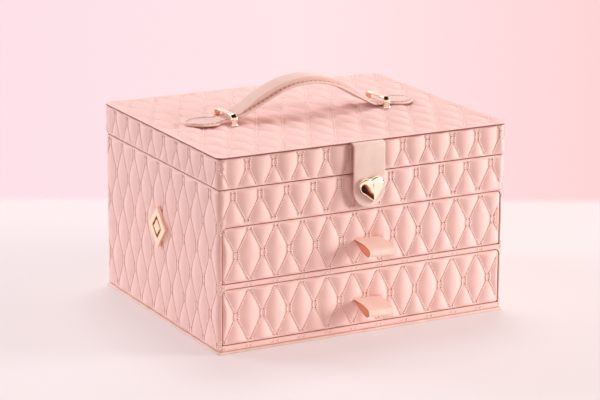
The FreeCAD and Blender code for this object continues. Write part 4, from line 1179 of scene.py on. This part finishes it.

# %% [markdown]
# The satin face is outside. Inside the loop the ribbon is duller and painted a deeper, redder
# colour, as painted shade of the light bounced within the loop, and its thin rims are painted dark
# as shade too. The loose part sways a little across its width, as soft ribbon does.

# %%
def ribbon_pull(drawer):
    """One ribbon, and its length. Its faces are satin outside, or painted shade inside the loop and
    on its two rims.
    """
    line = resample(ribbon_line(), 0.7)
    low, high = span(drawer + "_ribbon_pull", 0)
    z = sum(span(drawer + "_quilted_face", 2)) / 2 - PULL_DROP
    across = np.linspace(low, high, 13)
    middle, half = (low + high) / 2, (high - low) / 2
    rings = []
    for (y, up), (ny, nz) in zip(line, -normals_of(line)):
        loose = np.clip((-HALF_D - y) / 20, 0, 1)
        sway = SWAY * loose * np.sin((across - middle) / half * 2.2 + 0.6 * up)
        outer, inner = RIBBON_HALF + sway, sway - RIBBON_HALF
        rings.append(np.vstack([points_of(across, y + outer * ny, z + up + outer * nz),
                                points_of(across, y + inner * ny, z + up + inner * nz)[::-1]]))
    pull = band(drawer + "_ribbon", rings, sharp=60)
    count = len(across)
    # 0 is satin, 1 is painted shade inside the loop, 2 is painted shade on the rims
    kinds = [0] * (count - 1) + [2] + [1] * (count - 1) + [2]
    pull.data.polygons.foreach_set("material_index", kinds * (len(line) - 1) + [0, 0])
    dress(pull, drawer, "ribbon", satin_ribbon, ribbon_inside_shade, ribbon_rim_shade)
    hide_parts(drawer + "_ribbon_pull")
    length = distances(line)[-1]
    return length


for drawer in ("drawer_top", "drawer_bottom"):
    length = ribbon_pull(drawer)
    print(drawer, "ribbon cut", round(length, 1), "mm long")

# %% [markdown]
# ## Handle brackets
#
# Each end of the handle slides through a cast metal bracket: two short legs that carry a bar. A
# bevelled facet joins each leg to the bar, and it mirrors the darkest part of the room.

# %%
FACET = 3.5
LEG_EXTRA = 0.65          # how much wider the legs are than the bar, on each side
LEG_THICK, BAR_THICK = 3.4, 2.6
BAR_HALF = 2.4
LEG_RISE = (0, 0.5, 0.9, 1.3, 2.4, 4.0)    # heights over the foot, closer at its small flare


def bracket(side):
    """Pairs of points on the outside and the inside of the arch, with the width there. Each pair
    becomes a ring with rounded edges, and the second half of the arch mirrors the first."""
    node = f"handle_bracket_{side}"
    middle = sum(span(node, 0)) / 2
    outer, z_high = span(node, 1)[1] - 0.9, span(node, 2)[1]
    inner, foot = outer - LEG_THICK, TOP_Z - 0.4
    flare = [1 - ease(h / 1.5) for h in LEG_RISE]
    outside = [(outer + 0.3 * f, foot + h) for f, h in zip(flare, LEG_RISE)]
    outside += [(outer - FACET * t + 0.25 * (1 - abs(2 * t - 1) ** 6), z_high - FACET * (1 - t))
                for t in np.linspace(0, 1, 7)]
    inside = [(inner, foot + h) for h in LEG_RISE]
    inside += [(inner - 0.6 + 0.6 * math.cos(a), z_high - BAR_THICK - 0.6 + 0.6 * math.sin(a))
               for a in np.linspace(0, math.pi / 2, 7)]
    for y in (9, 3):
        outside.append((y, z_high))
        inside.append((y, z_high - BAR_THICK))
    extra = [LEG_EXTRA + 0.2 * f for f in flare] + [LEG_EXTRA] * 7 + [0.0, 0.0]
    rows = list(zip(outside, inside, extra))
    rows += [((-o[0], o[1]), (-i[0], i[1]), w) for o, i, w in rows[::-1]]
    rings = []
    for out_point, in_point, width in rows:
        out_point, in_point = np.array(out_point), np.array(in_point)
        thick = np.linalg.norm(in_point - out_point)
        way = (in_point - out_point) / thick
        half = BAR_HALF + width
        ring = [(half - 1.1, 0), (half - 0.45, 0.16), (half - 0.1, 0.6), (half, 1.2),
                (half, thick - 0.9), (half - 0.1, thick - 0.45), (half - 0.35, thick - 0.12),
                (half - 0.8, thick)]
        ring += [(-a, d) for a, d in ring[::-1]]
        rings.append([(middle + a, *(out_point + way * d)) for a, d in ring])
    piece = dress(band(node + "_cast", rings, sharp=60), "lid", "rose_gold", rose_gold)
    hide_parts(node)


for side in ("left", "right"):
    bracket(side)
print("brackets", round(span("handle_bracket_left", 1)[1] * 2, 1), "mm across")

# %% [markdown]
# ## Handle strap
#
# The handle is one long strap: a padded grip in the middle, a flat margin with a row of stitches
# at the foot of the padding, and a leaf-shaped tongue beyond each bracket. The strap is drawn as
# a line from the side, and a section with rounded edges runs along it. It is made in two halves,
# because each end slides through its own bracket while the strap bends between them.

# %%
CROWN_Z, CROWN_RADIUS = 206.6, 76.0    # the grip's arch
NECK_X = 79.0                          # where the strap goes through its bracket
STRAP_HALF, NECK_HALF, LEAF_HALF = 15.0, 11.0, 15.6
EDGE_THICK, STRAP_THICK = 1.35, 2.1
PAD_HALF, PAD_RISE = 10.9, 4.1
TONGUE_Z = TOP_Z + 0.3
TONGUE_START, TONGUE_CREST = NECK_X + 8, NECK_X + 20

# The way out from the middle, the slope beside the grip, the radius at the foot of the arch, its
# height at the bracket and the place of the tongue's tip.
STRAP_SIDES = {"left": (-1, math.radians(25.6), 16.0, TOP_Z + 2.0, NECK_X + 39.6),
               "right": (1, math.radians(31.6), 34.0, TOP_Z + 0.9, NECK_X + 36.4)}


def strap_line(slope, heel, neck_z, tip_x):
    """The underside of one half of the strap, from the crown to the tip of its tongue, smoothed
    so that each curve runs into the next."""
    turns = np.linspace(0, slope, 24)
    centre = CROWN_Z - CROWN_RADIUS
    crown = points_of(CROWN_RADIUS * np.sin(turns), centre + CROWN_RADIUS * np.cos(turns))
    foot = points_of(NECK_X - heel * np.sin(turns), neck_z + heel - heel * np.cos(turns))[::-1]
    root = [(TONGUE_START + 1.0, TONGUE_Z + 0.05), (TONGUE_START + 4, TONGUE_Z)]
    line = resample(np.vstack([crown, foot, root, [(tip_x, TONGUE_Z)]]), 0.5)
    kernel = np.hanning(11)
    kernel /= kernel.sum()
    before = line[5:0:-1] * (-1, 1)
    after = points_of(2 * line[-1, 0] - line[-6:-1, 0][::-1], line[-1, 1])
    longer = np.vstack([before, line, after])
    return points_of(*(np.convolve(column, kernel, mode="valid") for column in longer.T))


def strap_half_width(x, tip_x):
    """Half the strap's width at a distance from the middle: the grip, the neck and the leaf."""
    neck = STRAP_HALF + (NECK_HALF - STRAP_HALF) * ease((x - 70.5) / 4.5)
    swell = np.sin(ease((x - TONGUE_START + 2) / 14) * math.pi / 2)
    far = np.clip((x - TONGUE_CREST) / (tip_x - TONGUE_CREST), 0, 1)
    leaf = np.where(x < TONGUE_CREST, NECK_HALF + (LEAF_HALF - NECK_HALF) * swell,
                    LEAF_HALF * (1 - far ** 2.3) ** 0.62)
    return np.where(x < TONGUE_START - 2, neck, leaf)


print("grip", round(2 * STRAP_HALF), "mm wide, neck", round(2 * NECK_HALF), "mm")

# %% [markdown]
# The section changes along the strap: the padding ends before the neck, and everything shrinks
# towards the tip of the tongue.

# %%


def pad_height(x):
    """How high the padding stands over the strap at a distance from the middle."""
    return PAD_RISE * (1 - 0.55 * ease((x - 44) / 18)) * (1 - ease((x - 60) / 13))


def strap_section_at(x, tip_x):
    """The section there: one half from the middle of the top round the edge to the underside, and
    its mirror image."""
    half = float(strap_half_width(x, tip_x))
    pad = float(pad_height(x))
    small = min(1.0, half / NECK_HALF)
    foot = min(PAD_HALF, half - 2.8 * small) if half > 3 else half * 0.6
    top = [(foot * f, STRAP_THICK + pad + 0.3 * (1 - f ** 2) * small) for f in (0, 0.3, 0.6, 0.84)]
    step = [(foot - inset * small, STRAP_THICK + pad * part)
            for inset, part in ((0.75, 0.97), (0.3, 0.86), (0.1, 0.6))]
    step.append((foot, STRAP_THICK + pad * 0.15 - 0.05))
    rim = [(foot + 0.4 * small, STRAP_THICK - 0.1),
           ((foot + half) / 2 + 0.2 * small, STRAP_THICK - 0.05)]
    rim += [(half - inset * small, z) for inset, z in (
        (1.0, EDGE_THICK + 0.3), (0.3, EDGE_THICK + 0.05), (0.05, EDGE_THICK * 0.75),
        (0, EDGE_THICK * 0.45), (0.1, EDGE_THICK * 0.15), (0.4, 0.0))]
    under = [(half * 0.8, 0.0), (half * 0.4, 0.0), (0.0, 0.0)]
    return mirrored(top + step + rim + under)


def strap_point(line, out, place, across, up):
    """The point over a place along the line."""
    index = np.arange(len(line))
    x, z, nx, nz = (np.interp(place, index, column) for column in np.hstack([line, out]).T)
    return points_of(x + up * nx, across, z + up * nz)


print("points round the strap:", len(strap_section_at(0.0, STRAP_SIDES["left"][-1])))

# %% [markdown]
# The stitches follow both margins of the padding and go round the tongue.

# %%
STRAP_STITCH, STRAP_BEAD, STRAP_HOLE = 4.4, 0.34, 1.1
PAD_ROW = PAD_HALF + 1.25    # the row beside the padding
TONGUE_INSET = 2.7           # how far the row lies inside the edge of the tongue
CUT_ROWS = (14, 15, 20, 21)  # the places round the strap's section that are painted


def strap_stitches(line, out, sign, tip_x):
    """Both ends of every stitch, and the way out at each."""
    index = np.arange(len(line), dtype=float)
    x = line[:, 0]
    beside = PAD_ROW + (NECK_HALF - TONGUE_INSET - PAD_ROW) * ease((x - 62) / 10)
    row = np.where(x < 72, beside, np.maximum(strap_half_width(x, tip_x) - TONGUE_INSET, 0))
    path = points_of(index, x, row)[:np.argmax(x > tip_x - 3.2)]
    across = np.linspace(path[-1, 2], 0, 12)[1:]
    bow = tip_x - 2.9 - 0.028 * across * across
    path = np.vstack([path, points_of(np.interp(bow, x, index), bow, across)])
    length = distances(path[:, 1:])
    places = np.arange(STRAP_STITCH / 2, length[-1], STRAP_STITCH)
    at, across = np.interp(places, length, path[:, 0]), np.interp(places, length, path[:, 2])
    up = STRAP_THICK + 0.02
    points = strap_point(line, out, at, across, up)
    normals = strap_point(line, out, at, across, up + 1) - points
    return [np.vstack([rows * (sign, mirror, 1) for mirror in (1, -1)])
            for rows in (points[:-1], points[1:], normals[:-1])]


def strap_half(side):
    """One half of the strap: its leather, its thread and its needle holes."""
    sign, *shape, tip_x = STRAP_SIDES[side]
    line = strap_line(*shape, tip_x)
    out = normals_of(line)
    last = len(line) - 1
    rings = []
    for place in np.concatenate([np.arange(0, last - 13, 3), np.arange(last - 13, last),
                                 last - np.array([0.6, 0.3, 0.1, 0.0])]):
        section = strap_section_at(np.interp(place, np.arange(len(line)), line[:, 0]), tip_x)
        rings.append(strap_point(line, out, place, *section.T) * (sign, 1, 1))
    half = band(f"handle_strap_{side}", rings, sharp=55, paint=CUT_ROWS, ends=0)
    starts, ends, normals = strap_stitches(line, out, sign, tip_x)
    sewn = thread_mesh(f"handle_thread_{side}", starts, ends, normals, radius=STRAP_BEAD)
    holes = hole_mesh(f"handle_holes_{side}", starts, normals, np.full(len(starts), STRAP_HOLE))
    for piece, materials in ((half, (strap_leather, painted_edge)), (sewn, (strap_thread,)),
                             (holes, (needle_hole_shade,))):
        for material in materials:
            piece.data.materials.append(material)
        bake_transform(piece)
    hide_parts(f"handle_end_{side}", f"handle_flank_{side}", "handle_grip")


for side in ("left", "right"):
    strap_half(side)
print("handle strap", round(STRAP_SIDES["left"][-1] + STRAP_SIDES["right"][-1]), "mm across")

# %% [markdown]
# ## Light, floor and camera
#
# A lamp from the right and above rakes over the front, so that each diamond has a bright and a
# dark flank. A cooler one behind the left side lights that side from the back, a weak one fills
# the front left, and one overhead lights the lid.

# %%
LAMPS = (    # name, place, height aimed at, width, power and colour
    ("key", (2.2, -1.25, 0.62), 0.08, 1.3, 68, (0.975, 1.02, 1.03)),
    ("left", (-1.6, 1.65, 0.9), 0.1, 1.2, 31, (0.885, 1.03, 1.17)),
    ("fill", (-2.0, -1.3, 0.7), 0.1, 1.0, 5.5, (1.0, 0.95, 0.92)),
    ("overhead", (0.35, 0.6, 2.0), 0.1, 0.9, 16, (0.915, 1.02, 1.08)),
)
for name, place, aim, size, power, color in LAMPS:
    light = bpy.data.lights.new(name, "AREA")
    light.shape = "DISK"
    light.size = size
    light.energy = power
    light.color = color
    lamp = put(name, light)
    lamp.location = place
    lamp.rotation_euler = (Vector((0, 0, aim)) - Vector(place)).to_track_quat("-Z", "Y").to_euler()
print(len(LAMPS), "lamps")

# %% [markdown]
# The backdrop is a pale rose that is warmer on the right, and only the camera sees it. Metal and
# glass mirror a bright, warm room that is dark straight overhead and low in front. Everything
# else gets a soft rose light from above the horizon and a weak, deep red one from below it.

# %%
YAW, PITCH, ROLL = math.radians(28.21), math.radians(15.187), math.radians(0.297)
forward = Vector((math.sin(YAW) * math.cos(PITCH), math.cos(YAW) * math.cos(PITCH),
                  -math.sin(PITCH)))
level = Vector((math.cos(YAW), -math.sin(YAW), 0))
upward = level.cross(forward)
DARK_SIDE = Vector((-0.15, -0.88, -0.42)).normalized()

world = bpy.data.worlds.new("studio")
bpy.context.scene.world = world
world.use_nodes = True
tree = world.node_tree
tree.nodes.clear()
rays = add(tree, "LightPath").outputs
way = add(tree, "TexCoord").outputs["Generated"]
height = add(tree, "SeparateXYZ", {"Vector": way}).outputs["Z"]


def toward(direction):
    """How far a ray points in a direction: 1 where it runs along it."""
    return add(tree, "VectorMath", {0: way, 1: direction}, operation="DOT_PRODUCT").outputs["Value"]


def background(value, low, high, stops, strength=1.0):
    """Light whose colour runs through the stops while a value goes from low to high."""
    part = add(tree, "MapRange", {"Value": value, "From Min": low, "From Max": high})
    color = ramp(tree, part.outputs["Result"], stops)
    return add(tree, "Background", {"Color": color, "Strength": strength}).outputs["Background"]


room = background(height, -0.25, 0.35, [(0.0, (0.10, 0.04, 0.03)), (0.38, (0.16, 0.06, 0.045)),
                                        (0.46, (0.9, 0.52, 0.45)), (1.0, (1.0, 0.65, 0.57))], 0.58)
ceiling = add(tree, "Math", {0: height, 1: 0.08}, operation="ADD").outputs["Value"]
darkest = add(tree, "Math", {0: toward(DARK_SIDE), 1: ceiling}, operation="MAXIMUM")
glint = background(darkest.outputs["Value"], 0.79, 0.92,
                   [(0.0, (1.0, 0.90, 0.80)), (0.25, (0.60, 0.22, 0.11)),
                    (0.6, (0.13, 0.03, 0.02)), (1.0, (0.03, 0.012, 0.01))], 1.1)
seen = background(toward(level), -0.13, 0.13,
                  [(0.0, (0.99, 0.75, 0.82)), (0.5, (1.0, 0.79, 0.82)), (1.0, (1.0, 0.66, 0.67))])
shine = mix_shaders(tree, rays["Is Glossy Ray"], room, glint)
add(tree, "OutputWorld", {"Surface": mix_shaders(tree, rays["Is Camera Ray"], shine, seen)})
print(len(tree.nodes), "nodes in the world")

# %% [markdown]
# The case stands on a pale table. Its far edge is out of focus, so it fades into the backdrop.

# %%
NEAR_EDGE, FAR_EDGE, FADE, REACH = -520.0, 345.0, 22.0, 4000.0
floor = new_mesh("floor", [(x, y, 0) for x, y in (
    (-REACH, NEAR_EDGE), (REACH, NEAR_EDGE), (REACH, FAR_EDGE + FADE), (-REACH, FAR_EDGE + FADE))],
    [(0, 1, 2, 3)], sharp=None)
floor.rotation_euler = (0, 0, -YAW)
floor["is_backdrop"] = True
floor.visible_glossy = False
material, tree, bsdf = shader("pale_table", 0.6, Emission_Color=(1.0, 0.83, 0.84, 1),
                              Emission_Strength=0.36)
stone = texture(tree, "TexNoise", 3, Detail=5)
tint(tree, bsdf, stone.outputs["Fac"], (0.44, 0.43, 0.435), (0.47, 0.46, 0.465))
place = add(tree, "SeparateXYZ", {"Vector": add(tree, "TexCoord").outputs["Object"]})
fade = add(tree, "MapRange", {"Value": place.outputs["Y"], "From Min": (FAR_EDGE - FADE) * MM,
                              "From Max": (FAR_EDGE + FADE) * MM}, interpolation_type="SMOOTHSTEP")
clear = add(tree, "BsdfTransparent").outputs["BSDF"]
tree.links.new(mix_shaders(tree, fade.outputs["Result"], bsdf.outputs["BSDF"], clear),
               tree.nodes["Material Output"].inputs["Surface"])
floor.data.materials.append(material)
print("table edge", FAR_EDGE, "mm behind the case")

# %% [markdown]
# The camera looks down on the front left corner from two metres away, through a long lens.

# %%
right = math.cos(ROLL) * level + math.sin(ROLL) * upward
above = math.cos(ROLL) * upward - math.sin(ROLL) * level
camera = put("camera", bpy.data.cameras.new("camera"))
camera.data.lens = 149.236
camera.data.sensor_width = 36
camera.data.clip_end = 20
turn = Matrix((right, above, -forward)).transposed().to_4x4()
camera.matrix_world = Matrix.Translation((-1.0538, -1.9606, 0.6978)) @ turn
bpy.context.scene.camera = camera
bpy.context.scene.view_settings.view_transform = "Standard"
print("lens", round(camera.data.lens), "mm")

# %% [markdown]
# Last, the outer sizes of the solids and of what is seen are kept and printed.

# %%
size = {"cad": [list(map(float, c)) for c in cad_box],
        "visual": [list(map(float, c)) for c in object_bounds()]}
print(size)
